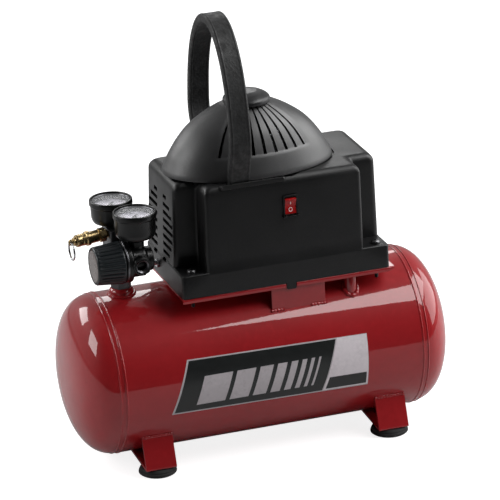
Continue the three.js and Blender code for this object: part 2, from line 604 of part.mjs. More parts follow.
// ---------------------------------------------------------------- motor and pump
function makeMotor() {
  const { y, z, radius, x0, x1, shaft } = MOTOR;
  const stack = cut(
    rod([x0, y, z], [1, 0, 0], x1 - x0, radius, 24), rod([x0 - 1, y, z], [1, 0, 0], x1 - x0 + 2, 24, 24));
  const feet = box(x0 + 12, x1 - 12, y - 26, y + 26, PLATE.top + GAP, z - 24);
  const feetKeep = cut(feet,
    rod([x0 - 1, y, z], [1, 0, 0], x1 - x0 + 2, radius - 3, 24), box(-67, -35, 11, 37, 170, 198));
  piece('motor_stator', join(stack, cut(feetKeep, box(x0, x1, y - 18, y + 18, 170, 203))), MATERIALS.castIron);

  const rotor = join(
    rod([x0 + 4, y, z], [1, 0, 0], x1 - x0 - 8, 23.2, 24), rod([-77, y, z], [1, 0, 0], 115, shaft, 16));
  piece('motor_rotor', rotor, MATERIALS.steel);

  const blades = [];
  for (let i = 0; i < 7; i++) {
    const blade = new THREE.BoxGeometry(2, 21, 11);
    blade.rotateY(THREE.MathUtils.degToRad(35));
    blade.translate(0, 20.5, 0);
    blade.rotateX((i / 7) * 2 * Math.PI);
    blade.translate(-68, y, z);
    blades.push(solidFrom(blade));
  }
  const fan = cut(join(rod([-74, y, z], [1, 0, 0], 12, 12, 14), ...blades),
    rod([-80, y, z], [1, 0, 0], 24, shaft + GAP, 16));
  piece('cooling_fan', fan, MATERIALS.fanPlastic);
}

function makePump() {
  const { y, z, shaft } = MOTOR;
  const { x, bore, deck, top, rod: rodLength } = PUMP;
  const crankcase = cut(
    join(box(24, 33, y - 34, y + 34, PLATE.top + GAP, deck), box(24, 80, y - 26, y + 26, deck - 5, deck),
      box(73, 80, y - 26, y + 26, PLATE.top + GAP, deck)),
    rod([20, y, z], [1, 0, 0], 16, shaft + 0.5, 16), rod([x, y, deck - 8], [0, 0, 1], 12, 21, 24));
  piece('crankcase', crankcase, MATERIALS.aluminium);

  const pinZ = z + PUMP.throw;
  const eccentric = cut(
    join(rod([34.5, y, z], [1, 0, 0], 9, 11, 16),
      prism([[y - 15, z - 4], [y + 15, z - 4], [y + 11, z - 14], [y, z - 17.5], [y - 11, z - 14]].reverse(),
        'x', 36, 43.5),
      rod([43, y, pinZ], [1, 0, 0], 17, 4.6, 14)),
    rod([34, y, z], [1, 0, 0], 4.3, shaft + GAP, 16));
  piece('crank_eccentric', eccentric, MATERIALS.castIron);

  const wristZ = pinZ + rodLength;
  const connectingRod = cut(
    join(rod([x - 5, y, pinZ], [1, 0, 0], 10, 9, 18), rod([x - 4, y, wristZ], [1, 0, 0], 8, 5, 14),
      box(x - 3, x + 3, y - 3.5, y + 3.5, pinZ + 6, wristZ)),
    rod([x - 8, y, pinZ], [1, 0, 0], 16, 5.1, 16), rod([x - 8, y, wristZ], [1, 0, 0], 16, 2.5, 12));
  piece('connecting_rod', connectingRod, MATERIALS.aluminium);

  const crown = top - 2;
  piece('piston', turned(
    [[16.4, 276], [19, 276], [19, crown], [0, crown], [0, crown - 3.4], [16.4, crown - 3.4], [16.4, 276]],
    [x, y, 0], [0, 0, 1], 24), MATERIALS.aluminium);

  const finProfile = [[bore, deck + GAP], [27, deck + GAP], [27, deck + 4], [22.5, deck + 4]];
  for (let i = 0; i < 3; i++) {
    const z0 = deck + 10 + i * 8;
    finProfile.push([22.5, z0], [27, z0 + 0.4], [27, z0 + 2], [22.5, z0 + 2.4]);
  }
  finProfile.push([22.5, top - 4], [27, top - 4], [27, top], [bore, top], [bore, deck + GAP]);
  piece('cylinder', turned(finProfile, [x, y, 0], [0, 0, 1], 20), MATERIALS.aluminium);

  const headBottom = top + GAP;
  const fins = [-18, -9, 0, 9, 18].map((dy) => {
    const half = Math.sqrt(22 ** 2 - dy ** 2);
    return box(x - half, x + half, y + dy - 1.3, y + dy + 1.3, headBottom + 7, headBottom + 12);
  });
  const head = join(rod([x, y, headBottom], [0, 0, 1], 8, 26.5, 20), ...fins,
    rod([x, y - 20, headBottom + 4.5], [0, -1, 0], 9, 4.2, 6));
  piece('cylinder_head', head, MATERIALS.aluminium);

  const outletY = y - 30;
  const pipe = [[x, outletY, headBottom + 4.5], [x, outletY - 4.5, headBottom + 3.5], [x + 2, -33, 297],
    [x + 8, -34, 284], [x + 28, -43, 264], [INLET.x, INLET.y, 240], [INLET.x, INLET.y, 205]];
  piece('discharge_tube', sweep(disc(2.6, 6), pipe, 26), MATERIALS.aluminium);
  piece('check_valve', join(
    rod([INLET.x, INLET.y, 172.3], [0, 0, 1], 10, 5, 16), rod([INLET.x, INLET.y, 182], [0, 0, 1], 16, 6.6, 6),
    rod([INLET.x, INLET.y, 197], [0, 0, 1], 7.6, 4.6, 12)), MATERIALS.brass);
}

makeTank();
makeBungs();
makeDrain();
makeFeet();
makePlate();
makeShroud();
makeScrews();
makeDome();
makeHandle();
makeSwitch();
makeManifold();
makeGauge('tank', GAUGE.rear, GAUGE.stemRear);
makeGauge('line', GAUGE.front, GAUGE.stemFront);
makeRegulator();
makeSafetyValve();
makePressureSwitch();
makeMotor();
makePump();

export default compressor;
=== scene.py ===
"""Looks of a small portable air compressor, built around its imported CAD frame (Blender 4.5).

Shapes are worked out in millimetres, in the row frame: +Z is up, -Y is the side with the power
switch, and the gauges are at the -X end. piece() turns a shape into an object in metres.
"""
import json
import math
import random

import bmesh
import bpy
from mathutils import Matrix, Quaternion, Vector, noise


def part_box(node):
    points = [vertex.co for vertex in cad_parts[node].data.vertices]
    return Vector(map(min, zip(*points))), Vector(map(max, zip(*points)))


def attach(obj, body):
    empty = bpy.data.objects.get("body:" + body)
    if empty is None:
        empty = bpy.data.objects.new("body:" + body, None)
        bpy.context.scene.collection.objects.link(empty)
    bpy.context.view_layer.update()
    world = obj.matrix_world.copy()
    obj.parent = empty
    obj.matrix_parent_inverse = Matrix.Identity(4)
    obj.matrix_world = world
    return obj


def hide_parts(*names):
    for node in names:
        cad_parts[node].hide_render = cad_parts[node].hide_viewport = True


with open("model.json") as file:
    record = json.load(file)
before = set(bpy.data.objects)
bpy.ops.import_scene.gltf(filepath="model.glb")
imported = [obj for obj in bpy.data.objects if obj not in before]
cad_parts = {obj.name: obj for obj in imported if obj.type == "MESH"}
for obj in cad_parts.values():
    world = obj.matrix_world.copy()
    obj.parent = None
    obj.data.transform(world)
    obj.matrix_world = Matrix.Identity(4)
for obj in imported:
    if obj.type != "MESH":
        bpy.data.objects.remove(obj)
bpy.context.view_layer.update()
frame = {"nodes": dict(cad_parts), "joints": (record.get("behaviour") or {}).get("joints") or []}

MM = 0.001
X = Vector((1, 0, 0))
Y = Vector((0, 1, 0))
Z = Vector((0, 0, 1))
SCENE = bpy.context.scene
JOINTS = {joint["name"]: joint for joint in frame["joints"]}


def mm(node):
    """Lowest and highest corner of a CAD node, in millimetres."""
    low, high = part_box(node)
    return low / MM, high / MM


def centre(node):
    low, high = mm(node)
    return (low + high) / 2


def linked(name, data):
    """A new object in the scene."""
    thing = bpy.data.objects.new(name, data)
    SCENE.collection.objects.link(thing)
    return thing


# ------------------------------------------------------------------ camera
CAMERA_AZIMUTH = math.radians(-17.758)
CAMERA_ELEVATION = math.radians(20.567)
CAMERA_ROLL = math.radians(-2.696)
CAMERA_DISTANCE = 4088.4
CAMERA_AIM = Vector((0, 0, 150))
CAMERA_SLIDE = (1.5, 44.7)
CAMERA_LENS = 289.04


def direction(azimuth, elevation):
    """Unit vector from the object: azimuth 0 is towards -Y and 90 degrees towards +X."""
    flat = math.cos(elevation)
    return Vector((math.sin(azimuth) * flat, -math.cos(azimuth) * flat, math.sin(elevation)))


def add_camera():
    back = direction(CAMERA_AZIMUTH, CAMERA_ELEVATION)
    level = Z.cross(back).normalized()
    rise = back.cross(level)
    right = level * math.cos(CAMERA_ROLL) + rise * math.sin(CAMERA_ROLL)
    up = back.cross(right)
    place = CAMERA_AIM + back * CAMERA_DISTANCE + right * CAMERA_SLIDE[0] + up * CAMERA_SLIDE[1]
    data = bpy.data.cameras.new("camera")
    data.lens = CAMERA_LENS
    data.clip_end = 100
    camera = linked("camera", data)
    camera.location = place * MM
    camera.rotation_mode = "QUATERNION"
    turn = back.to_track_quat("Z", "Y")
    twist = (turn @ Y).angle(up)
    side = 1 if (turn @ Y).cross(up).dot(back) > 0 else -1
    camera.rotation_quaternion = Quaternion(back, side * twist) @ turn
    SCENE.camera = camera


add_camera()


# ------------------------------------------------------------------ shapes in millimetres
# A shape is (vertices, faces). The functions below make shapes, and join() puts several in one.
def round_angles(count):
    return [2 * math.pi * i / count for i in range(count)]


def join(*shapes):
    vertices, faces = [], []
    for part_vertices, part_faces in shapes:
        base = len(vertices)
        vertices += part_vertices
        faces += [[base + i for i in face] for face in part_faces]
    return vertices, faces


def soften(points, radius, steps=4, closed=True):
    """The outline with its corners rounded."""
    points = [Vector(p) for p in points]
    count = len(points)
    outline = []
    for i, point in enumerate(points):
        if not closed and i in (0, count - 1):
            outline.append(point)
            continue
        before = points[i - 1] - point
        after = points[(i + 1) % count] - point
        reach = min(radius, before.length * 0.45, after.length * 0.45)
        first = point + before.normalized() * reach
        last = point + after.normalized() * reach
        for k in range(steps + 1):
            t = k / steps
            outline.append(first * (1 - t) ** 2 + point * (2 * t * (1 - t)) + last * t ** 2)
    return outline


def skin(rings, closed_rings=True, closed_path=False, caps=True):
    """Faces over rings of vertices, where a ring of one vertex is a pole."""
    vertices, index = [], []
    for ring in rings:
        index.append(list(range(len(vertices), len(vertices) + len(ring))))
        vertices += [Vector(p) for p in ring]
    faces = []
    pairs = list(zip(index, index[1:]))
    if closed_path:
        pairs.append((index[-1], index[0]))
    for a, b in pairs:
        count = max(len(a), len(b))
        for i in range(count if closed_rings else count - 1):
            j = (i + 1) % count
            if len(a) == 1 and len(b) == 1:
                continue
            if len(a) == 1:
                faces.append([a[0], b[j], b[i]])
            elif len(b) == 1:
                faces.append([a[i], a[j], b[0]])
            else:
                faces.append([a[i], a[j], b[j], b[i]])
    if caps and not closed_path:
        faces += [ring for ring in (index[0], index[-1]) if len(ring) > 2]
    return vertices, faces


def lathe(profile, start, along, sides=96, closed=False, wave=None):
    """A turned shape. profile is [(radius, distance)], and wave(angle, distance) changes the radius."""
    along = Vector(along).normalized()
    turn = along.to_track_quat("Z", "Y")
    across, over = turn @ X, turn @ Y
    start = Vector(start)
    rings = []
    for radius, distance in profile:
        middle = start + along * distance
        if radius < 1e-6:
            rings.append([middle])
            continue
        ring = []
        for angle in round_angles(sides):
            reach = radius + (wave(angle, distance) if wave else 0)
            ring.append(middle + across * (reach * math.cos(angle)) + over * (reach * math.sin(angle)))
        rings.append(ring)
    return skin(rings, closed_path=closed)


def cylinder(radius, low, high, start, along, sides=24):
    return lathe([(0, low), (radius, low), (radius, high), (0, high)], start, along, sides)


def turned(profile, start, along, radius=0.4, sides=96, closed=False, wave=None):
    """A lathe shape whose profile has small round corners."""
    profile = soften(profile, radius, steps=3, closed=closed)
    return lathe([(max(p[0], 0), p[1]) for p in profile], start, along, sides, closed, wave)


def prism(outline, axis, low, high):
    """A straight prism: axis "X" takes (y, z) points, "Y" takes (x, z) and "Z" takes (x, y)."""
    place = {
        "X": lambda p, d: Vector((d, p[0], p[1])),
        "Y": lambda p, d: Vector((p[0], d, p[1])),
        "Z": lambda p, d: Vector((p[0], p[1], d)),
    }[axis]
    return skin([[place(p, d) for p in outline] for d in (low, high)])


def block(x0, x1, y0, y1, z0, z1):
    return prism([(x0, y0), (x1, y0), (x1, y1), (x0, y1)], "Z", z0, z1)


def rounded_box(x0, x1, y0, y1, corner):
    return soften([(x0, y0), (x1, y0), (x1, y1), (x0, y1)], corner, steps=5)


def ellipse(x, half_x, half_y, count=96):
    return [(x + half_x * math.cos(a), half_y * math.sin(a)) for a in round_angles(count)]


def disc(radius, count=24, flat=1.0):
    return ellipse(0, radius, radius * flat, count)


def hexagon(radius):
    angles = [math.pi / 3 * i for i in range(6)]
    return soften([(radius * math.cos(a), radius * math.sin(a)) for a in angles], 0.5, steps=2)


def smooth_path(points, steps=10, closed=False):
    """A Catmull-Rom curve through the points."""
    points = [Vector(p) for p in points]
    count = len(points)
    spans = count if closed else count - 1
    path = []
    for i in range(spans):
        if closed:
            a, b, c, d = (points[(i + k - 1) % count] for k in range(4))
        else:
            a, b, c, d = (points[min(max(i + k - 1, 0), count - 1)] for k in range(4))
        for k in range(steps):
            t = k / steps
            path.append(0.5 * (2 * b + (c - a) * t + (2 * a - 5 * b + 4 * c - d) * t ** 2
                               + (3 * b - a - 3 * c + d) * t ** 3))
    if not closed:
        path.append(points[-1])
    return path


def sweep(path, section, side=X, closed=False, size=None):
    """The section along a path. size(share of the path) gives its scale across and through."""
    rings = []
    count = len(path)
    side = Vector(side)
    for i, point in enumerate(path):
        if closed:
            along = (path[(i + 1) % count] - path[i - 1]).normalized()
        else:
            along = (path[min(i + 1, count - 1)] - path[max(i - 1, 0)]).normalized()
        side = (side - along * side.dot(along)).normalized()
        over = along.cross(side)
        wide, thick = size(i / (count - 1)) if size else (1, 1)
        rings.append([point + side * (u * wide) + over * (v * thick) for u, v in section])
    return skin(rings, closed_path=closed)


def moved(shape, by):
    vertices, faces = shape
    return [v + by for v in vertices], faces


def placed(shape, at, along, turn=0.0):
    """A shape made around the Z axis, moved to a point and turned so that its +Z points along a direction."""
    vertices, faces = shape
    rotation = Vector(along).to_track_quat("Z", "Y") @ Quaternion(Z, turn)
    return [rotation @ v + Vector(at) for v in vertices], faces


def nut(at, along, radius, low, high, turn=0.0):
    return placed(prism(hexagon(radius), "Z", low, high), at, along, turn)


def weld(path, radius, seed, pitch=2.6, closed=False, flat=0.75):
    """A bead of overlapping weld ripples along a path."""
    draw = random.Random(seed)
    length = sum((b - a).length for a, b in zip(path, path[1:]))
    shift = draw.random() * 10

    def ripple(share):
        along = share * length
        wave = 0.13 * math.sin(2 * math.pi * along / pitch)
        uneven = 0.24 * noise.noise(Vector((along * 0.35 + shift, shift, 0)))
        grown = 1 + wave + uneven
        return grown, grown
    side = (path[1] - path[0]).orthogonal()
    return sweep(path, disc(radius, 12, flat), side, closed=closed, size=ripple)


# ------------------------------------------------------------------ solids from shapes
def mesh_of(name, shape, face_up=False):
    """A mesh with its normals outward, or upward for an open shell."""
    mesh = bpy.data.meshes.new(name)
    vertices, faces = shape
    mesh.from_pydata([v * MM for v in vertices], [], faces)
    work = bmesh.new()
    work.from_mesh(mesh)
    bmesh.ops.remove_doubles(work, verts=work.verts, dist=1e-6)
    bmesh.ops.recalc_face_normals(work, faces=work.faces)
    if face_up and sum(face.normal.z * face.calc_area() for face in work.faces) < 0:
        bmesh.ops.reverse_faces(work, faces=work.faces)
    work.to_mesh(mesh)
    work.free()
    return mesh


def combine(first, second, operation):
    """One shape from two solids by an exact boolean."""
    pair = [linked("scratch", mesh_of("scratch", shape)) for shape in (first, second)]
    change = pair[0].modifiers.new("cut", "BOOLEAN")
    change.object = pair[1]
    change.operation = operation
    change.solver = "EXACT"
    change.use_self = True
    result = pair[0].evaluated_get(bpy.context.evaluated_depsgraph_get())
    mesh = bpy.data.meshes.new_from_object(result)
    vertices = [v.co / MM for v in mesh.vertices]
    faces = [list(face.vertices) for face in mesh.polygons]
    for thing in pair:
        old = thing.data
        bpy.data.objects.remove(thing)
        bpy.data.meshes.remove(old)
    bpy.data.meshes.remove(mesh)
    return vertices, faces


def cut(shape, *tools):
    return combine(shape, join(*tools), "DIFFERENCE")


def union(first, *others):
    for other in others:
        first = combine(first, other, "UNION")
    return first


def smooth_object(name, mesh, material):
    mesh.polygons.foreach_set("use_smooth", [True] * len(mesh.polygons))
    mesh.materials.append(material)
    return linked(name, mesh)


def round_edges(thing, width, angle):
    """Fine round edges, width in millimetres, where the surface bends more than angle in degrees."""
    bevel = thing.modifiers.new("edge", "BEVEL")
    bevel.width = width * MM
    bevel.segments = 2
    bevel.limit_method = "ANGLE"
    bevel.angle_limit = math.radians(angle)
    bevel.harden_normals = True


def declare(thing, body, stands_for):
    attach(thing, body)
    if stands_for:
        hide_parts(*stands_for)


def piece(name, shape, material, body="base", stands_for=(), edge=0.0, angle=32):
    """An object of the model. edge is the width of a fine round edge in millimetres."""
    thing = smooth_object(name, mesh_of(name, shape), material)
    thing.data.set_sharp_from_angle(angle=math.radians(angle))
    if edge:
        round_edges(thing, edge, angle)
    declare(thing, body, stands_for)


def red_piece(name, shape, stands_for=(), edge=0.0, angle=32):
    """A piece of painted steel that belongs to the base."""
    piece(name, shape, RED, stands_for=stands_for, edge=edge, angle=angle)


# ------------------------------------------------------------------ materials
class Finish:
    """A Principled material whose colour, roughness and relief come from noise in object space."""

    def __init__(self, name, colour, roughness, metallic=0.0, specular=0.5):
        self.material = bpy.data.materials.new(name)
        self.material.use_nodes = True
        self.nodes = self.material.node_tree.nodes
        self.links = self.material.node_tree.links
        self.shader = self.nodes["Principled BSDF"]
        self.shader.inputs["Base Color"].default_value = (*colour, 1)
        self.shader.inputs["Roughness"].default_value = roughness
        self.shader.inputs["Metallic"].default_value = metallic
        self.shader.inputs["Specular IOR Level"].default_value = specular
        self.colour = colour
        self.roughness = roughness
        self.place = self.nodes.new("ShaderNodeTexCoord").outputs["Object"]
        self.relief = None

    def stretched(self, scale):
        mapping = self.nodes.new("ShaderNodeMapping")
        mapping.inputs["Scale"].default_value = scale
        self.links.new(self.place, mapping.inputs["Vector"])
        return mapping.outputs["Vector"]

    def noise(self, scale, detail=3.0, stretch=None):
        texture = self.nodes.new("ShaderNodeTexNoise")
        texture.inputs["Scale"].default_value = scale
        texture.inputs["Detail"].default_value = detail
        self.links.new(self.stretched(stretch) if stretch else self.place, texture.inputs["Vector"])
        return texture.outputs["Fac"]

    def cells(self, scale, feature="F1"):
        texture = self.nodes.new("ShaderNodeTexVoronoi")
        texture.feature = feature
        texture.inputs["Scale"].default_value = scale
        self.links.new(self.place, texture.inputs["Vector"])
        return texture.outputs["Distance"]

    def ranged(self, source, low, high, to_low=0.0, to_high=1.0):
        node = self.nodes.new("ShaderNodeMapRange")
        for key, value in (("From Min", low), ("From Max", high), ("To Min", to_low), ("To Max", to_high)):
            node.inputs[key].default_value = value
        self.links.new(source, node.inputs["Value"])
        return node.outputs["Result"]

    def mix(self, share, other):
        """Mixes another colour over what the surface has so far."""
        node = self.nodes.new("ShaderNodeMix")
        node.data_type = "RGBA"
        socket = self.shader.inputs["Base Color"]
        if socket.is_linked:
            self.links.new(socket.links[0].from_socket, node.inputs["A"])
        else:
            node.inputs["A"].default_value = socket.default_value
        node.inputs["B"].default_value = (*other, 1)
        self.links.new(share, node.inputs["Factor"])
        self.links.new(node.outputs["Result"], socket)
        return self

    def tone(self, scale, amount, detail=4.0, stretch=None):
        """Lighter and darker patches."""
        paler = tuple(min(1.0, c * (1 + amount) + amount * 0.004) for c in self.colour)
        darker = tuple(c * (1 - amount) for c in self.colour)
        source = self.noise(scale, detail, stretch)
        self.mix(self.ranged(source, 0.5, 0.7), paler)
        return self.mix(self.ranged(source, 0.5, 0.3), darker)

    def gloss(self, scale, spread, stretch=None):
        """Uneven roughness."""
        source = self.noise(scale, 4.0, stretch)
        level = self.ranged(source, 0.3, 0.7, self.roughness - spread, self.roughness + spread)
        self.links.new(level, self.shader.inputs["Roughness"])
        return self

    def bump(self, source, height, strength=1.0):
        node = self.nodes.new("ShaderNodeBump")
        node.inputs["Strength"].default_value = strength
        node.inputs["Distance"].default_value = height * MM
        self.links.new(source, node.inputs["Height"])
        if self.relief:
            self.links.new(self.relief, node.inputs["Normal"])
        self.relief = node.outputs["Normal"]
        self.links.new(self.relief, self.shader.inputs["Normal"])
        return self

    def coat(self, weight, roughness):
        self.shader.inputs["Coat Weight"].default_value = weight
        self.shader.inputs["Coat Roughness"].default_value = roughness
        if self.relief:
            self.links.new(self.relief, self.shader.inputs["Coat Normal"])
        return self


def paint(name, colour):
    """Glossy stoved paint with a slight orange peel and faint dust."""
    made = Finish(name, colour, 0.42, specular=0.12)
    made.tone(9, 0.10).tone(140, 0.05)
    made.mix(made.ranged(made.noise(900, 2), 0.72, 0.86, 0, 0.25), (0.5, 0.2, 0.2))
    made.gloss(26, 0.06)
    made.bump(made.noise(120, 2), 0.05, 0.5).bump(made.noise(420, 2), 0.012, 0.5)
    return made.coat(1.0, 0.035).material


def textured_plastic(name, colour, roughness, grain=1500, height=0.05, specular=0.5):
    """Moulded plastic with a fine spark-eroded texture, rubbed a little smoother in places."""
    made = Finish(name, colour, roughness, specular=specular)
    made.tone(16, 0.16).tone(grain * 0.5, 0.22, 2.0).gloss(22, 0.06)
    made.bump(made.noise(grain, 2), height, 0.7).bump(made.noise(grain * 0.33, 2), height, 0.35)
    return made.material


def smooth_plastic(name, colour, roughness, specular=0.5):
    made = Finish(name, colour, roughness, specular=specular)
    made.tone(40, 0.12).gloss(60, 0.06).bump(made.noise(500, 3), 0.02, 0.5)
    made.mix(made.ranged(made.noise(700, 4, (1, 1, 6)), 0.7, 0.82, 0, 0.2), (0.1, 0.1, 0.1))
    return made.material


def grip_rubber(name, colour):
    """Soft grip with a leathery, mottled skin."""
    made = Finish(name, colour, 0.62)
    made.tone(330, 0.8, 5.0).tone(90, 0.4).gloss(160, 0.16)
    made.bump(made.cells(420), 0.16, 0.8).bump(made.noise(900, 3), 0.06, 0.6)
    return made.material


def rubber(name, colour):
    made = Finish(name, colour, 0.82)
    made.tone(90, 0.3).gloss(80, 0.08).bump(made.noise(700, 4), 0.06, 0.7)
    made.mix(made.ranged(made.noise(260, 5), 0.62, 0.8, 0, 0.35), (0.07, 0.065, 0.06))
    return made.material


def turned_metal(name, colour, roughness, dark, stretch=(1, 1, 1)):
    """Machined metal with fine tool marks, handled patches and darker patches here and there."""
    made = Finish(name, colour, roughness, metallic=1.0)
    made.tone(220, 0.12).gloss(160, 0.08, stretch)
    made.mix(made.ranged(made.noise(110, 5), 0.55, 0.75, 0, 0.55), dark)
    made.bump(made.noise(2600, 2, stretch), 0.012, 0.6)
    return made.material


def cast_metal(name, colour, roughness):
    made = Finish(name, colour, roughness, metallic=0.85)
    made.tone(120, 0.25).gloss(90, 0.1).bump(made.noise(1100, 4), 0.08, 0.6)
    made.mix(made.ranged(made.noise(240, 5), 0.58, 0.76, 0, 0.5), tuple(c * 0.35 for c in colour))
    return made.material


def printed(name, colour, roughness=0.35):
    """A printed or moulded surface with the faint mottle of ink."""
    made = Finish(name, colour, roughness)
    made.tone(300, 0.07).tone(30, 0.05).gloss(200, 0.05).bump(made.noise(1600, 2), 0.01, 0.4)
    return made.material


def clear_lens(name):
    made = Finish(name, (0.96, 0.97, 1.0), 0.06)
    made.shader.inputs["Alpha"].default_value = 0.14
    made.gloss(70, 0.03).bump(made.noise(150, 2), 0.01, 0.3)
    return made.material


def lit_plastic(name, colour):
    """Translucent red moulding with a little light inside it."""
    made = Finish(name, colour, 0.3, specular=0.25)
    made.tone(260, 0.25).gloss(200, 0.05).bump(made.noise(500, 2), 0.015, 0.4)
    made.shader.inputs["Subsurface Weight"].default_value = 0.35
    made.shader.inputs["Subsurface Radius"].default_value = (0.004, 0.0004, 0.0004)
    made.shader.inputs["Emission Color"].default_value = (1.0, 0.03, 0.02, 1)
    made.shader.inputs["Emission Strength"].default_value = 0.05
    made.coat(0.12, 0.1)
    return made.material


RED = paint("red_paint", (0.335, 0.0105, 0.014))
SHROUD = textured_plastic("shroud_plastic", (0.0055, 0.0055, 0.0059), 0.41, specular=0.42)
# The dome's plastic is the shroud's black plastic painted lighter: painted light, for the soft light from above
# that the dome catches.
DOME = textured_plastic("dome_plastic_painted_lighter", (0.013, 0.013, 0.0138), 0.47, specular=1.0)
SHROUD_FINE = smooth_plastic("cap_plastic", (0.011, 0.011, 0.012), 0.38)
GRIP = grip_rubber("grip", (0.010, 0.0102, 0.0106))
RUBBER = rubber("rubber", (0.013, 0.0125, 0.0125))
GLOSS_BLACK = smooth_plastic("gloss_black", (0.0042, 0.0044, 0.0044), 0.3, 0.4)
KNOB = smooth_plastic("knob_plastic", (0.009, 0.0125, 0.015), 0.36)
BADGE = printed("knob_badge", (0.125, 0.098, 0.09), 0.3)
SCREW_STEEL = turned_metal("screw_steel", (0.17, 0.17, 0.175), 0.34, (0.05, 0.05, 0.05))
BLACK_STEEL = turned_metal("black_steel", (0.03, 0.03, 0.032), 0.45, (0.01, 0.01, 0.01))
BRASS = turned_metal("brass", (0.54, 0.40, 0.20), 0.3, (0.16, 0.095, 0.04))
STEEL = turned_metal("steel", (0.60, 0.60, 0.61), 0.25, (0.25, 0.24, 0.23))
DARK_ZINC = cast_metal("dark_zinc", (0.10, 0.10, 0.105), 0.42)
ALUMINIUM = cast_metal("aluminium", (0.52, 0.53, 0.55), 0.42)
IRON = cast_metal("cast_iron", (0.08, 0.08, 0.085), 0.6)
FAN = textured_plastic("fan_plastic", (0.03, 0.032, 0.035), 0.5)
DIAL = printed("dial", (0.80, 0.77, 0.86), 0.45)
INK = printed("ink", (0.10, 0.10, 0.11), 0.5)
RING_GREY = turned_metal("inner_ring", (0.16, 0.16, 0.17), 0.35, (0.05, 0.05, 0.05))
LENS = clear_lens("lens")
ROCKER_RED = lit_plastic("rocker_red", (0.30, 0.004, 0.006))
MARK = printed("rocker_mark", (0.80, 0.62, 0.62), 0.4)
LABEL_BLACK = printed("label_black", (0.010, 0.0115, 0.0115), 0.34)
LABEL_SILVER = printed("label_silver", (0.50, 0.46, 0.48), 0.3)
LABEL_WHITE = printed("label_white", (0.74, 0.68, 0.71), 0.34)


# ------------------------------------------------------------------ tank, heads and their welds
SHELL_LOW, SHELL_HIGH = mm("tank_shell")
HEAD_LOW, HEAD_HIGH = mm("tank_head_right")
AXIS_Z = (SHELL_LOW.z + SHELL_HIGH.z) / 2
TANK_RADIUS = (HEAD_HIGH.y - HEAD_LOW.y) / 2
BEAD_RADIUS = (SHELL_HIGH.y - SHELL_LOW.y) / 2
SEAM = SHELL_HIGH.x
TANK_WALL = 2.5
WELD_ANGLE = 70
ENDS = (("left", -1), ("right", 1))
FACES = (("front", -1), ("rear", 1))


def on_tank(x, angle, out=0.0):
    """A point on the shell: angle is measured from straight out at -Y, upwards."""
    reach = TANK_RADIUS + out
    return Vector((x, -reach * math.cos(angle), AXIS_Z + reach * math.sin(angle)))


def tank_solid(radius):
    """A plain cylinder longer than the tank, to trim what stands on it."""
    return cylinder(radius, -260, 260, (0, 0, AXIS_Z), X, sides=128)


def over_tank(y):
    """Height of the shell's upper side at a distance from its middle."""
    return AXIS_Z + math.sqrt(TANK_RADIUS ** 2 - y ** 2)


def ring_weld(name, middle, radius, lift, bead, seed, pitch, count):
    """A weld bead round an upright tube that stands on the tank."""
    path = []
    for a in round_angles(count):
        y = middle.y + radius * math.sin(a)
        path.append(Vector((middle.x + radius * math.cos(a), y, over_tank(y) + lift)))
    red_piece(name, weld(path, bead, seed, pitch=pitch, closed=True, flat=1), angle=WELD_ANGLE)


def head_profile(radius, depth, count=26):
    """A quarter of a slightly squared ellipse, from the rim to the middle of a head."""
    points = []
    for i in range(count + 1):
        angle = math.pi / 2 * i / count
        points.append((radius * max(math.cos(angle), 0) ** 0.82, depth * math.sin(angle) ** 0.86))
    return points


def seam_weld(name, side):
    """The bead round a seam, kept under the height that the CAD shell allows."""
    middle = TANK_RADIUS - 0.75
    circle = [Vector((side * (SEAM - 0.2), -middle * math.cos(a), AXIS_Z + middle * math.sin(a)))
              for a in round_angles(420)]
    vertices, faces = weld(circle, 1.2, 11 + side, pitch=3.4, closed=True, flat=1.35)
    limit = BEAD_RADIUS - 0.05
    kept = []
    for v in vertices:
        flat = Vector((0, v.y, v.z - AXIS_Z))
        if flat.length > limit:
            flat = flat.normalized() * limit
        kept.append(Vector((v.x, flat.y, flat.z + AXIS_Z)))
    red_piece(f"seam_weld_{name}", (kept, faces), angle=WELD_ANGLE)


def make_tank():
    inner = TANK_RADIUS - TANK_WALL
    shell = lathe(
        [(inner, -SEAM), (TANK_RADIUS, -SEAM), (TANK_RADIUS, SEAM), (inner, SEAM)],
        (0, 0, AXIS_Z), X, sides=192, closed=True)
    red_piece("shell_of_tank", shell, ["tank_shell"], edge=0.4)
    depth = HEAD_HIGH.x - HEAD_LOW.x
    # The crimp where a head slips into the shell is a narrow raised line beside the weld.
    crimp = [(TANK_RADIUS - 2.2, 3.6), (TANK_RADIUS - 0.55, 4.4), (TANK_RADIUS + 0.18, 5.1),
             (TANK_RADIUS + 0.05, 5.7), (TANK_RADIUS - 1.1, 6.6), (TANK_RADIUS - 2.4, 6.8)]
    for name, side in ENDS:
        outside = head_profile(TANK_RADIUS - 0.25, depth)
        inside = head_profile(inner, depth - TANK_WALL)[::-1]
        head = lathe(outside + inside, (side * HEAD_LOW.x, 0, AXIS_Z), (side, 0, 0), sides=192)
        red_piece(f"head_of_tank_{name}", head, [f"tank_head_{name}"])
        seam_weld(name, side)
        ring = turned(crimp, (side * SEAM, 0, AXIS_Z), (side, 0, 0), radius=0.5, sides=192, closed=True)
        red_piece(f"crimp_line_{name}", ring, angle=60)


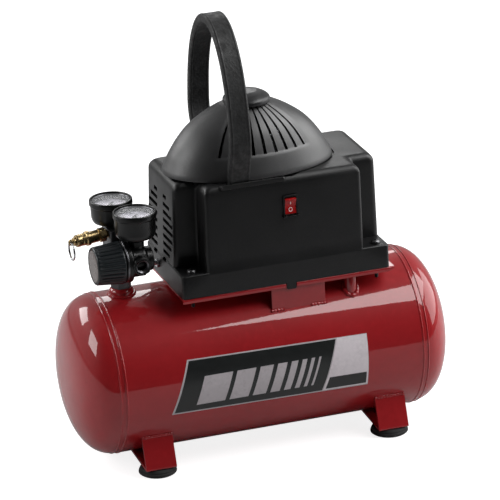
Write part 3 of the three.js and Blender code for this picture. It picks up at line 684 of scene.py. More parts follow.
def make_bungs():
    trim = tank_solid(TANK_RADIUS - 0.4)
    low, high = mm("inlet_bung")
    middle = (low + high) / 2
    radius = (high.x - low.x) / 2
    tube = turned(
        [(radius - 2.4, low.z - 4), (radius, low.z - 4), (radius, high.z), (radius - 2.4, high.z)],
        (middle.x, middle.y, 0), Z, sides=48, closed=True)
    red_piece("inlet_tube", cut(tube, trim), ["inlet_bung"])
    ring_weld("inlet_weld", middle, radius + 0.6, 0.3, bead=2.3, seed=5, pitch=5.5, count=40)

    low, high = mm("manifold_bung")
    middle = (low + high) / 2
    radius = (high.x - low.x) / 2
    port = turned(
        [(5.4, -14), (radius - 0.2, -14), (radius - 0.6, -2.5), (radius - 2.6, 0), (6.4, 0), (5.4, -1.2)],
        (middle.x, middle.y, high.z), Z, radius=0.8, sides=64, closed=True)
    red_piece("port_boss", cut(port, trim), ["manifold_bung"])
    ring_weld("port_weld", middle, radius + 0.1, 0.1, bead=1.8, seed=8, pitch=3.2, count=60)


def make_drain():
    joint = JOINTS["drain_open"]
    along = Vector(joint["axis"])
    start = Vector(joint["pos_m"]) / MM
    seat = start - along * (start - Vector((start.x, 0, AXIS_Z))).dot(along) + along * (TANK_RADIUS + 0.3)
    flange = [(0, 0), (7.2, 0), (7.2, 3.2), (5.6, 4.4), (5.6, 5), (0, 5)]
    base = turned(flange, seat - along * 0.6, along, 0.5, 48)
    barrel = nut(seat, along, 5.6, 4.2, 9.4)
    throat = turned([(0, 9), (4.3, 9), (4.3, 10.9), (3.2, 11.4), (0, 11.4)], seat, along, 0.3, 40)
    piece("drain_body", join(base, barrel, throat), BRASS, stands_for=["drain_valve_body"], edge=0.25)
    stem = turned([(0, 6), (2.1, 6), (2.1, 12), (0, 12)], seat, along, 0.2, 32)

    def grip(angle, distance):
        return -0.35 * (0.5 + 0.5 * math.cos(18 * angle)) ** 2 if 12.5 < distance < 17.5 else 0
    wheel = turned(
        [(0, 12), (6.2, 12), (6.4, 13), (6.4, 17), (5.6, 18), (2.4, 18), (2.0, 17.2), (0, 17.2)],
        seat, along, 0.5, 96, wave=grip)
    piece("drain_thumbwheel", join(stem, wheel), BRASS, body="drain_tap", stands_for=["drain_tap"])


# ------------------------------------------------------------------ feet, plate and legs
def make_feet():
    for side_name, sy in FACES:
        for end_name, sx in ENDS:
            node = f"foot_bracket_{side_name}_{end_name}"
            low, high = mm(node)
            outer = max(abs(low.y), abs(high.y))
            inner = min(abs(low.y), abs(high.y))
            bottom, sheet = low.z, 3.0
            top = high.z + 1.2
            lean = outer - 12
            outline = [(outer, bottom), (lean, top), (lean - sheet, top), (outer - sheet - 0.8, bottom + sheet),
                       (inner, bottom + 2 * sheet), (inner, bottom + sheet)]
            outline = soften(outline, 2.2, steps=4)
            strap = prism([(sy * y, z) for y, z in outline], "X", low.x, high.x)
            strap = cut(strap, tank_solid(TANK_RADIUS - 0.6))
            red_piece(f"foot_strap_{side_name}_{end_name}", strap, [node], edge=0.7)

            contact = math.asin((high.z - 0.6 - AXIS_Z) / TANK_RADIUS)
            line = [on_tank(low.x + (high.x - low.x) * i / 40, contact, 0.1) for i in range(41)]
            line = [Vector((p.x, -sy * p.y, p.z)) for p in line]
            bead = weld(line, 2.0, 20 + sx + 3 * sy, pitch=3.0)
            red_piece(f"foot_weld_{side_name}_{end_name}", bead, angle=WELD_ANGLE)

            node = f"rubber_foot_{side_name}_{end_name}"
            low, high = mm(node)
            middle = (low + high) / 2
            radius = (high.y - low.y) / 2
            pad = turned(
                [(0, 1), (5.6, 1), (6.4, 0), (radius - 2.2, 0), (radius, 1.6), (radius - 0.5, 4.2),
                 (radius - 1.5, 4.7), (radius - 1.2, 5.4), (radius - 2.4, 7.6), (radius - 5, 8), (0, 8)],
                (middle.x, middle.y, low.z), Z, radius=0.7, sides=72)
            piece(f"foot_pad_{side_name}_{end_name}", pad, RUBBER, stands_for=[node])


TAB_X = (22, 32)
SHEET = 2.2
PLATE_TOP = 178.5
SCREW_HOLE = 2.6
REAR_TAB_X = (("left", -60), ("right", 104))
REAR_TAB_Y = (51.8, 54)
REAR_TAB_TOP = 198


def make_plate():
    low, high = mm("mount_plate")
    top = PLATE_TOP
    lip = low.z
    half = high.y
    channel = [(-half, lip), (-half, top), (half, top), (half, lip), (half - SHEET, lip),
               (half - SHEET, top - SHEET), (SHEET - half, top - SHEET), (SHEET - half, lip)]
    sheet = prism(soften(channel, 1.8, steps=4), "X", low.x, high.x)
    point = [(high.x - 9, lip - 1), (high.x + 1, lip - 1), (high.x + 1, top - 1.6), (high.x - 1, top - SHEET)]
    inlet = centre("inlet_bung")
    screws = [mm(f"shroud_screw_front_{side}") for side, _ in ENDS]
    holes = [cylinder(SCREW_HOLE, 0, 20, ((a.x + b.x) / 2, (a.y + b.y) / 2, top - 10), Z) for a, b in screws]
    sheet = cut(
        sheet, prism(point, "Y", -half - 1, half + 1),
        block(TAB_X[0] - 0.7, TAB_X[1] + 0.7, -half - 1, 3.2 - half, lip - 1, top + 1),
        cylinder(8.5, 0, 20, (inlet.x, inlet.y, top - 10), Z, 48), *holes)
    red_piece("top_plate", sheet, ["mount_plate"], edge=0.5)
    for side_name, sy in FACES:
        node = f"saddle_leg_{side_name}"
        low, high = mm(node)
        leg = cut(block(low.x, high.x, low.y, high.y, low.z - 3, high.z), tank_solid(TANK_RADIUS - 0.5))
        red_piece(f"saddle_{side_name}", leg, [node], edge=0.6)
        face = max(abs(low.y), abs(high.y)) + 0.2
        rise = over_tank(face)
        for name, x0, x1 in (("a", low.x - 1, low.x + 13), ("b", high.x - 15, high.x + 1)):
            line = [Vector((x0 + (x1 - x0) * i / 24, sy * face, rise + 0.3)) for i in range(25)]
            bead = weld(line, 1.7, 40 + sy, pitch=3.2)
            red_piece(f"saddle_weld_{side_name}_{name}", bead, angle=WELD_ANGLE)
    for name, x in REAR_TAB_X:
        tab = prism(rounded_box(x - 9, x + 9, top - 1, REAR_TAB_TOP, 2.5), "Y", *REAR_TAB_Y)
        screw_low, screw_high = mm(f"shroud_screw_rear_{name}")
        hole = cylinder(SCREW_HOLE, 0, 20, (x, 44, (screw_low.z + screw_high.z) / 2), Y)
        red_piece(f"rear_tab_{name}", cut(tab, hole), edge=0.3)


# ------------------------------------------------------------------ shroud
SKIRT_LOW, SHROUD_HIGH = mm("shroud")
LEDGE = 203.0
SHROUD_TOP = SHROUD_HIGH.z
BASE_Z = 178.8
FOOT_PLAN = dict(x0=-86.4, x1=131.8, y=59.66, nx0=-61, nx1=105.5, ny=32)
HEAD_PLAN = dict(x0=-82.6, x1=130.4, y=58.2, nx0=-59.5, nx1=105.5, ny=31.2)
CORNER = 4.5
INNER_CORNER = 3.2
PLASTIC = 2.4
CORD_HOLE = (72, 48, 191)
TUBE_HOLE_Y, TUBE_HOLE_Z = 22, 190.5
DOME_LOW, DOME_HIGH = mm("dome_cover")
DOME_X = (DOME_LOW.x + DOME_HIGH.x) / 2
DOME_A = (DOME_HIGH.x - DOME_LOW.x) / 2
DOME_B = (DOME_HIGH.y - DOME_LOW.y) / 2


def plan_at(z):
    share = (z - LEDGE) / (SHROUD_TOP - LEDGE)
    return {key: FOOT_PLAN[key] + (HEAD_PLAN[key] - FOOT_PLAN[key]) * share for key in FOOT_PLAN}


def shroud_ring(z, inset_x=0.0, inset_y=0.0, grow=0.0):
    """The shroud's outline at a height: a box with both front corners notched."""
    p = plan_at(z)
    corners = [
        (p["nx0"] + inset_x, inset_y - p["y"]), (p["nx1"] - inset_x, inset_y - p["y"]),
        (p["nx1"] - inset_x, inset_y - p["ny"]), (p["x1"] - inset_x, inset_y - p["ny"]),
        (p["x1"] - inset_x, p["y"] - inset_y), (p["x0"] + inset_x, p["y"] - inset_y),
        (p["x0"] + inset_x, inset_y - p["ny"]), (p["nx0"] + inset_x, inset_y - p["ny"])]
    radii = [CORNER, CORNER, INNER_CORNER, CORNER + 2, CORNER + 2, CORNER + 2, CORNER + 2, INNER_CORNER]
    ring = []
    for i, corner in enumerate(corners):
        here = Vector(corner)
        before = (Vector(corners[i - 1]) - here).normalized()
        after = (Vector(corners[(i + 1) % 8]) - here).normalized()
        reach = max(radii[i] + grow, 0.8)
        for k in range(7):
            t = k / 6
            point = ((here + before * reach) * (1 - t) ** 2 + here * (2 * t * (1 - t))
                     + (here + after * reach) * t ** 2)
            ring.append((point.x, point.y, z))
    return ring


def shroud_body(inset, bottom, top, round_x, round_y):
    """The shroud's outside or inside: walls that lean in a little and a rounded top edge."""
    rings = [shroud_ring(bottom, inset, inset, -inset * 0.5)]
    drop = max(round_x, round_y)
    count = 8
    for z in (bottom + 20, bottom + 50, top - drop - 6):
        rings.append(shroud_ring(z, inset, inset, -inset * 0.5))
    for i in range(count + 1):
        a = math.pi / 2 * i / count
        z = top - drop + drop * math.sin(a)
        back = 1 - math.cos(a)
        rings.append(shroud_ring(z, inset + round_x * back, inset + round_y * back, -inset * 0.5))
    return skin(rings)


def louvre_tools():
    """Cutters for the cooling slots: level slots in a round field, split by an upright rib."""
    tools = []
    middle_y, middle_z, half_rib, reach_y, reach_z = 15, 235, 9.5, 41, 38
    rows, pitch, half_slot = 9, 8.3, 2.0
    for row in range(rows):
        z = middle_z + (row - rows // 2) * pitch
        reach = reach_y * math.sqrt(1 - ((z - middle_z) / reach_z) ** 2)
        for side in (-1, 1):
            y0, y1 = sorted((middle_y + side * half_rib, middle_y + side * reach))
            outline = rounded_box(y0, y1, z - half_slot, z + half_slot, 0.9)
            tools.append(prism(outline, "X", FOOT_PLAN["x0"] - 4, FOOT_PLAN["x0"] + 9))
            tools.append(prism(outline, "X", FOOT_PLAN["x1"] - 9, FOOT_PLAN["x1"] + 4))
    return tools


def make_shroud():
    x0, x1, half = SKIRT_LOW.x, SHROUD_HIGH.x, SHROUD_HIGH.y
    skirt_rings = []
    for z, inset in ((BASE_Z, 0), (LEDGE - 1.6, 0), (LEDGE - 0.9, 0.25), (LEDGE - 0.3, 0.8), (LEDGE, 1.8)):
        ring = rounded_box(x0 + inset, x1 - inset, inset - half, half - inset, 4.0)
        skirt_rings.append([(p.x, p.y, z) for p in ring])
    outside = union(skin(skirt_rings), shroud_body(0, LEDGE - 8, SHROUD_TOP, 9.5, 7.0))
    tab = prism(rounded_box(TAB_X[0], TAB_X[1], SKIRT_LOW.z, BASE_Z + 6, 1.5), "Y", -half, PLASTIC - half)
    outside = union(outside, tab)

    hollow_skirt = prism(rounded_box(x0 + PLASTIC, x1 - PLASTIC, PLASTIC - half, half - PLASTIC, 2.5), "Z",
                         BASE_Z - 5, LEDGE - PLASTIC)
    hollow_body = shroud_body(PLASTIC, LEDGE - 12, SHROUD_TOP - PLASTIC, 7.5, 4.5)
    groove = prism(ellipse(DOME_X, DOME_A + 2.2, DOME_B + 1.5), "Z", SHROUD_TOP - 2.0, SHROUD_TOP + 8)
    opening = prism(ellipse(DOME_X, DOME_A - 6, DOME_B - 5, 72), "Z", SHROUD_TOP - 12, SHROUD_TOP + 2)
    handle_low, handle_high = mm("handle")
    handle_slots = []
    for _, sy in FACES:
        y0, y1 = sorted((sy * 43.6, sy * 56.2))
        handle_slots.append(prism(rounded_box(handle_low.x - 1.2, handle_high.x + 1.2, y0, y1, 2), "Z",
                                  SHROUD_TOP - 9, SHROUD_TOP + 6))
    switch_low, switch_high = mm("switch_housing")
    switch_hole = block(switch_low.x + 0.9, switch_high.x - 0.9, -70, -48,
                        switch_low.z + 0.9, switch_high.z - 0.9)
    tools = [*louvre_tools(), *handle_slots, switch_hole, screw_hole("front_left"), screw_hole("front_right"),
             cylinder(7, 0, 20, CORD_HOLE, Y, 40),
             cylinder(4.6, 0, 20, (x0 - 8, TUBE_HOLE_Y, TUBE_HOLE_Z), X, 32)]
    shell = outside
    for tool in (hollow_skirt, hollow_body, groove, opening, join(*tools)):
        shell = cut(shell, tool)
    piece("shroud_cover", shell, SHROUD, stands_for=["shroud"], edge=0.35, angle=28)

    # A thin lip closes the front edge where the dome's groove breaks through the rounding.
    y = -HEAD_PLAN["y"] - 0.15
    lip_ends = (-41.5, 23.5)
    lip = prism(rounded_box(y, y + 1.5, SHROUD_TOP - 5.2, SHROUD_TOP - 0.1, 0.7), "X", *lip_ends)
    ear = [(0, -1.5), (1.7, -1.5), (2.1, 0), (1.7, 1.5), (0, 1.5)]
    ears = [turned(ear, (x, y + 1.6, SHROUD_TOP - 2.4), X, 0.8, 24) for x in lip_ends]
    piece("front_lip", join(lip, *ears), SHROUD, edge=0.3)


def screw_hole(which):
    middle = centre(f"shroud_screw_{which}")
    return cylinder(SCREW_HOLE, 0, 18, (middle.x, middle.y, LEDGE - 9), Z)


def cross_recess(at, along, size, depth):
    """Cutter for a cross-head screw."""
    arms = []
    for turn in (0, math.pi / 2):
        arm = prism([(-size, -0.55), (size, -0.55), (size, 0.55), (-size, 0.55)], "Z", -depth, depth)
        arms.append(placed(arm, at, along, turn))
    return arms


def make_screws():
    head_height, pitch, core, crest = 3.6, 0.7, 1.65, 2.0
    for which, along, length in (
            ("front_left", Z, 41.5), ("front_right", Z, 41.5), ("rear_left", Y, 14), ("rear_right", Y, 14)):
        node = f"shroud_screw_{which}"
        low, high = mm(node)
        middle = (low + high) / 2
        start = Vector((middle.x, middle.y, low.z)) if along is Z else Vector((middle.x, low.y, middle.z))
        grip = length - head_height
        thread = [(core if i % 2 else crest, 1.5 + i * pitch) for i in range(int((grip - 2) / pitch))]
        shank = lathe([(0, 0), *thread, (1.8, grip + 0.2), (0, grip + 0.2)], start, along, 24)
        head = turned(
            [(0, grip), (4.7, grip), (4.7, grip + 1.2), (4.2, grip + 2.5), (3.0, grip + 3.4),
             (0, grip + head_height)],
            start, along, 0.4, 48)
        tip = start + along * (grip + 3.4)
        head = cut(head, *cross_recess(tip, along, 2.2, 1.3))
        piece(f"screw_{which}", head, SCREW_STEEL, stands_for=[node])
        piece(f"screw_shank_{which}", shank, BLACK_STEEL)


# ------------------------------------------------------------------ dome
DOME_PROFILE = [(0.20, 358.6), (0.28, 357.2), (0.37, 354.2), (0.515, 347), (0.685, 336), (0.808, 324), (0.9, 312),
                (0.955, 303), (0.99, 297)]
SLOT_ANGLES = [math.radians(-123 + 9 * i) for i in range(9)]
SLOT_HALF = math.radians(1.3)
PANEL_MARGIN = math.radians(4)
PANEL_DEPTH = 0.55
SLOT_BOTTOM, SLOT_TOP = 315.5, 356.2


def dome_levels():
    """(scale, height) rings of the dome's outside, from under the cap down to the rim."""
    path = smooth_path([(s, 0, z) for s, z in DOME_PROFILE], steps=5)
    levels = [(p.x, p.z) for p in path]
    out = []
    for level, following in zip(levels, levels[1:]):
        out.append(level)
        for mark in (SLOT_TOP, SLOT_BOTTOM):
            if level[1] > mark > following[1]:
                share = (level[1] - mark) / (level[1] - following[1])
                out.append((level[0] + (following[0] - level[0]) * share, mark))
    out.append(levels[-1])
    return out + [(0.9985, 294.6), (1.0, 293.6), (1.0, DOME_LOW.z)]


def make_dome():
    slots = SLOT_ANGLES + [-a for a in SLOT_ANGLES]
    angles = []
    for i in range(144):
        a = math.radians(-180 + 2.5 * i)
        if all(abs(a - s) > math.radians(2.0) for s in slots):
            angles.append(a)
    for s in slots:
        angles += [s - SLOT_HALF, s + SLOT_HALF]
    angles.sort()
    levels = dome_levels()
    # The slots lie in a panel that is sunk a little into the dome.
    panel = (SLOT_ANGLES[0] - PANEL_MARGIN, SLOT_ANGLES[-1] + PANEL_MARGIN)
    vertices = []
    for scale, z in levels:
        for a in angles:
            sunk = PANEL_DEPTH if panel[0] < -abs(a) < panel[1] and SLOT_BOTTOM <= z <= SLOT_TOP else 0.0
            vertices.append(Vector((DOME_X + (DOME_A * scale - sunk) * math.cos(a),
                                    (DOME_B * scale - sunk) * math.sin(a), z - sunk * 0.5)))
    count = len(angles)
    faces = []
    for row, (upper, lower) in enumerate(zip(levels, levels[1:])):
        in_slot_height = lower[1] >= SLOT_BOTTOM - 0.01 and upper[1] <= SLOT_TOP + 0.01
        for i in range(count):
            j = (i + 1) % count
            middle = (angles[i] + angles[j]) / 2
            if in_slot_height and any(abs(middle - s) < SLOT_HALF * 0.5 for s in slots):
                continue
            faces.append([row * count + i, row * count + j, (row + 1) * count + j, (row + 1) * count + i])
    dome = smooth_object("dome_shell", mesh_of("dome_shell", (vertices, faces), face_up=True), DOME)
    solid = dome.modifiers.new("thickness", "SOLIDIFY")
    solid.thickness = PLASTIC * MM
    solid.offset = -1
    round_edges(dome, 0.3, 40)
    declare(dome, "base", ["dome_cover"])
    make_dome_shade_sheets(levels)
    make_crown_cap()


def make_dome_shade_sheets(levels):
    """Two upright dark sheets inside the dome, put in as painted shade: they keep daylight out of the slots, so
    that the slots look dark.
    """
    shade_sheet_y = 34
    reach = math.sqrt(1 - (shade_sheet_y / DOME_B) ** 2) * DOME_A * 0.93
    top = []
    for i in range(25):
        across = -reach + 2 * reach * i / 24
        scale = math.sqrt((across / DOME_A) ** 2 + (shade_sheet_y / DOME_B) ** 2)
        height = next((upper[1] + (lower[1] - upper[1]) * (scale - upper[0]) / (lower[0] - upper[0])
                       for upper, lower in zip(levels, levels[1:]) if upper[0] <= scale <= lower[0]), SLOT_BOTTOM)
        top.append((DOME_X + across, height - 3.4))
    # A flat dark sheet across the middle, as painted shade, so that the front slots don't show light through the
    # rear slots.
    middle_shade_sheet = prism([(DOME_X - 30, 318), (DOME_X + 30, 318), (DOME_X + 15, 352), (DOME_X - 15, 352)], "Y", 0, 1.6)
    foot = [(DOME_X + reach, DOME_LOW.z + 1), (DOME_X - reach, DOME_LOW.z + 1)]
    rib = prism(foot + top, "Y", shade_sheet_y, shade_sheet_y + 1.6)
    piece("dome_shade_sheet", join(rib, middle_shade_sheet), SHROUD)


def make_crown_cap():
    low, high = mm("dome_cap")
    middle = (low + high) / 2
    radius = (high.x - low.x) / 2
    base = low.z
    height = high.z - base
    cap = turned(
        [(0, -1), (radius - 1.0, -1), (radius, 0), (radius - 0.3, 3.2), (radius - 1.6, 4.8),
         (radius - 3.6, 6.2), (radius * 0.68, height * 0.76), (radius * 0.46, height * 0.92),
         (radius * 0.22, height * 0.99), (0, height)],
        (middle.x, middle.y, base), Z, radius=1.0, sides=120)
    piece("crown_cap", cap, SHROUD_FINE, stands_for=["dome_cap"])


# ------------------------------------------------------------------ handle
def make_handle():
    low, high = mm("handle")
    x = (low.x + high.x) / 2 - 0.4
    thick, wide = 9.6, 21.6
    leg_y, arch_z = 50, 335
    arch_y = high.y - 0.25 - thick / 2
    arch_top = high.z - 0.2 - thick / 2
    leg = [(x + 1.6, -leg_y, low.z + 1), (x + 1.5, -leg_y, 275), (x + 1.3, -leg_y - 0.3, 288),
           (x + 0.9, -leg_y - 4, 302), (x + 0.4, -leg_y - 10, 316)]
    arch = [(x, -arch_y * math.cos(a), arch_z + (arch_top - arch_z) * math.sin(a))
            for a in (math.pi * i / 16 for i in range(17))]
    route = leg + arch + [(px, -py, pz) for px, py, pz in reversed(leg)]
    path = smooth_path(route, steps=9)
    half, bead = wide / 2, thick / 2
    # A rounded bar with a shallow panel between two raised beads, on the outside and on the inside.
    edge = [(half, 2.2), (half - 1.2, 0.4), (half - 2.4, 0), (half - 3.4, 0.35)]
    outer = [(-u, v - bead) for u, v in edge] + [(u, v - bead) for u, v in reversed(edge)]
    inner = [(u, bead - v) for u, v in edge] + [(-u, bead - v) for u, v in reversed(edge)]
    section = soften(outer + inner, 0.8, steps=3)

    def flare(share):
        end = max(0.0, 1 - min(share, 1 - share) / 0.28)
        return 1 + 0.09 * end, 1
    piece("carry_handle", sweep(path, section, side=X, size=flare), GRIP, stands_for=["handle"], angle=50)


# ------------------------------------------------------------------ power switch and cord gland
def make_switch():
    low, high = mm("switch_housing")
    middle = (low + high) / 2
    wide, tall = (high.x - low.x) / 2, (high.z - low.z) / 2
    flange = prism(rounded_box(-wide, wide, -tall, tall, 1.4), "Z", 0, 1.6)
    box = block(-wide + 1, wide - 1, -tall + 1, tall - 1, -19, 0.4)
    well = prism(rounded_box(-wide + 1.6, wide - 1.6, -tall + 1.8, tall - 1.8, 0.6), "Z", -12, 4)
    sill = prism(rounded_box(-wide - 1.2, wide + 1.2, -tall - 1.2, -tall + 0.9, 0.8), "Z", 0.4, 3.6)
    housing = join(cut(union(flange, box), well), sill)
    piece("switch_frame", face_on(housing, (middle.x, low.y + 1.6, middle.z)), GLOSS_BLACK,
          stands_for=["switch_housing"], edge=0.25)

    low, high = mm("switch_rocker")
    joint = Vector(JOINTS["power_switch"]["pos_m"]) / MM
    half = (high.z - low.z) / 2 - 0.1
    turn = math.radians(7)
    outline = [(-6.4, -half), (-5.6, -half * 0.72), (-4.7, -half * 0.36), (-4.3, 0), (-4.7, half * 0.36),
               (-5.6, half * 0.72), (-6.4, half), (-3, half), (4.4, 3), (4.4, -3), (-3, -half)]
    outline = soften(outline, 0.7, steps=3)

    def turned_point(y, v):
        return (joint.y + y * math.cos(turn) - v * math.sin(turn),
                joint.z + y * math.sin(turn) + v * math.cos(turn))
    rocker = prism([turned_point(y, v) for y, v in outline], "X", low.x + 0.1, high.x - 0.1)
    piece("rocker_button", rocker, ROCKER_RED, body="power_rocker", stands_for=["switch_rocker"],
          edge=0.5)

    curve = [(0, 4.3), (half * 0.36, 4.7), (half * 0.72, 5.6), (half, 6.4)]

    def mark_at(v, shape):
        vertices, faces = shape
        lifted = []
        for p in vertices:
            height = v + p.y
            out = next(y0 + (y1 - y0) * (abs(height) - v0) / (v1 - v0)
                       for (v0, y0), (v1, y1) in zip(curve, curve[1:]) if abs(height) <= v1)
            y, z = turned_point(-out - 0.08 - p.z, height)
            lifted.append(Vector((joint.x + p.x, y, z)))
        return lifted, faces
    bar = prism(rounded_box(-0.45, 0.45, -1.5, 1.5, 0.4), "Z", -0.25, 0.12)
    ring = skin([[(r * math.cos(a), r * math.sin(a) * 1.1, z) for a in round_angles(40)]
                 for r, z in ((1.35, -0.25), (1.35, 0.12), (2.1, 0.12), (2.1, -0.25))], closed_path=True)
    piece("rocker_marks", join(mark_at(half * 0.42, bar), mark_at(-half * 0.45, ring)), MARK,
          body="power_rocker")

    low, high = mm("cord_gland")
    middle = (low + high) / 2
    start = (middle.x, low.y, middle.z)
    sleeve = turned(
        [(3.9, 0), (6.2, 0), (6.2, 8.3), (9.4, 8.3), (9.4, 10.6), (8.6, 11.4), (6.6, 16.6), (5.4, 17), (3.9, 17)],
        start, Y, 0.5, 72, closed=True, wave=lambda a, d: -0.25 * (math.cos(12 * a) > 0.2) if d > 11.5 else 0)
    piece("gland_sleeve", sleeve, GLOSS_BLACK, stands_for=["cord_gland"])


def face_on(shape, at):
    """A shape drawn facing +Z with x across and y up, turned to face -Y."""
    vertices, faces = shape
    return [Vector((at[0] + v.x, at[1] - v.z, at[2] + v.y)) for v in vertices], faces


# ------------------------------------------------------------------ gauges
def lettering(text, size):
    """Flat figures as a thin shape centred on the origin, facing +Z."""
    data = bpy.data.curves.new("figures", "FONT")
    data.body = text
    data.size = size * MM
    data.align_x = "CENTER"
    data.align_y = "CENTER"
    data.extrude = 0.03 * MM
    data.resolution_u = 3
    thing = linked("figures", data)
    mesh = bpy.data.meshes.new_from_object(thing.evaluated_get(bpy.context.evaluated_depsgraph_get()))
    shape = [v.co / MM for v in mesh.vertices], [list(face.vertices) for face in mesh.polygons]
    bpy.data.objects.remove(thing)
    bpy.data.curves.remove(data)
    bpy.data.meshes.remove(mesh)
    return shape


GAUGE_ZERO = math.radians(225)
GAUGE_TURN = math.radians(270)
INK_HEIGHT = 0.08


def dial_print(middle, level, radius, figures):
    """Scale ticks and figures of a pressure gauge."""
    parts = []
    steps = 4 * (len(figures) - 1)
    for i in range(steps + 1):
        a = GAUGE_ZERO - GAUGE_TURN * i / steps
        major = i % 4 == 0
        outer = radius - 1.4
        inner = outer - (2.6 if major else 1.5)
        half = 0.32 if major else 0.16
        along, across = Vector((math.cos(a), math.sin(a), 0)), Vector((-math.sin(a), math.cos(a), 0))
        corners = [along * inner - across * half, along * outer - across * half,
                   along * outer + across * half, along * inner + across * half]
        tick = [(p.x + middle.x, p.y + middle.y) for p in corners]
        parts.append(prism(tick, "Z", level, level + INK_HEIGHT))
        if major:
            spot = along * (inner - 2.4)
            place = Vector((spot.x + middle.x, spot.y + middle.y, level + 0.05))
            parts.append(moved(lettering(figures[i // 4], 3.3), place))
    # The arc that joins the ends of the ticks.
    low, high = radius - 1.3, radius - 0.95
    arc = [GAUGE_ZERO - GAUGE_TURN * i / 60 for i in range(61)]
    inside = [(middle.x + low * math.cos(a), middle.y + low * math.sin(a)) for a in arc]
    outside = [(middle.x + high * math.cos(a), middle.y + high * math.sin(a)) for a in reversed(arc)]
    parts.append(prism(inside + outside, "Z", level, level + INK_HEIGHT))
    return join(*parts)


def make_gauge_case(name, deeper):
    low, high = mm(f"{name}_gauge_case")
    radius = (high.x - low.x) / 2
    middle = (low + high) / 2
    axis = (middle.x, middle.y, 0)
    top, bottom = high.z, low.z
    floor = mm(f"{name}_gauge_dial")[0].z - 0.3
    case = turned(
        [(0, bottom), (6.2, bottom), (6.2, top - 24.2 - deeper), (9, top - 24 - deeper),
         (18.4, top - 23.8 - deeper), (radius - 2.3, top - 21.2 - deeper), (radius - 1.6, top - 18.5 - deeper),
         (radius - 1.1, top - 6.4), (radius - 0.1, top - 5.6), (radius, top - 4.8), (radius - 0.1, top - 0.9),
         (radius - 0.9, top), (radius - 1.7, top - 0.1), (radius - 2.3, top - 1.6), (radius - 2.6, top - 3.2),
         (radius - 3.4, top - 3.4), (radius - 3.4, floor), (0, floor)],
        axis, Z, radius=0.7, sides=120)
    piece(f"{name}_gauge_body", case, GLOSS_BLACK, stands_for=[f"{name}_gauge_case"])
    ring = turned(
        [(radius - 3.35, top - 3.1), (radius - 2.75, top - 3.1), (radius - 2.45, top - 1.7),
         (radius - 2.9, top - 1.5), (radius - 3.6, top - 2.6)],
        axis, Z, radius=0.2, sides=120, closed=True)
    piece(f"{name}_gauge_ring", ring, RING_GREY)


def make_needle(name, middle, radius):
    low = mm(f"{name}_gauge_needle")[0]
    level = low.z + 0.8
    along = Vector((math.cos(GAUGE_ZERO), math.sin(GAUGE_ZERO), 0))
    across = Vector((-along.y, along.x, 0))
    corners = [along * (radius - 7), across * 0.8 + along * 1.0, along * -5 + across * 1.1,
               along * -5 - across * 1.1, across * -0.8 + along * 1.0]
    hand = prism([(p.x + middle.x, p.y + middle.y) for p in corners], "Z", level, level + 0.4)
    hub = turned([(0, 0), (2.3, 0), (2.3, 0.6), (1.6, 1.15), (0, 1.15)],
                 (middle.x, middle.y, low.z), Z, radius=0.2, sides=32)
    piece(f"{name}_gauge_hand", join(hand, hub), INK, body=f"{name}_needle",
          stands_for=[f"{name}_gauge_needle"])


def make_gauge(name, figures, deeper):
    """deeper is how much further down the case reaches than the other one's, in millimetres."""
    make_gauge_case(name, deeper)
    low, high = mm(f"{name}_gauge_case")
    middle = (low + high) / 2
    radius = (high.x - low.x) / 2
    dial_low, dial_high = mm(f"{name}_gauge_dial")
    face = turned([(0, 0), (radius - 4, 0), (radius - 4, 0.5), (radius - 4.5, 0.8), (0, 0.8)],
                  (middle.x, middle.y, dial_low.z), Z, radius=0.1, sides=96)
    piece(f"{name}_gauge_face", face, DIAL, stands_for=[f"{name}_gauge_dial"])
    piece(f"{name}_gauge_scale", dial_print(middle, dial_high.z + 0.01, radius - 4, figures), INK)
    make_needle(name, middle, radius)
    glass = turned(
        [(0, 0), (radius - 2.9, 0), (radius - 2.7, 0.5), (radius - 3.2, 1.1), (radius * 0.5, 1.5), (0, 1.6)],
        (middle.x, middle.y, mm(f"{name}_gauge_lens")[0].z), Z, radius=0.4, sides=96)
    piece(f"{name}_gauge_window", glass, LENS, stands_for=[f"{name}_gauge_lens"])


# ------------------------------------------------------------------ regulator, knob and outlet
REGULATOR = Vector(JOINTS["pressure_adjust"]["pos_m"]) / MM
OUTLET_X = -123.5
ARM_X = -126.5


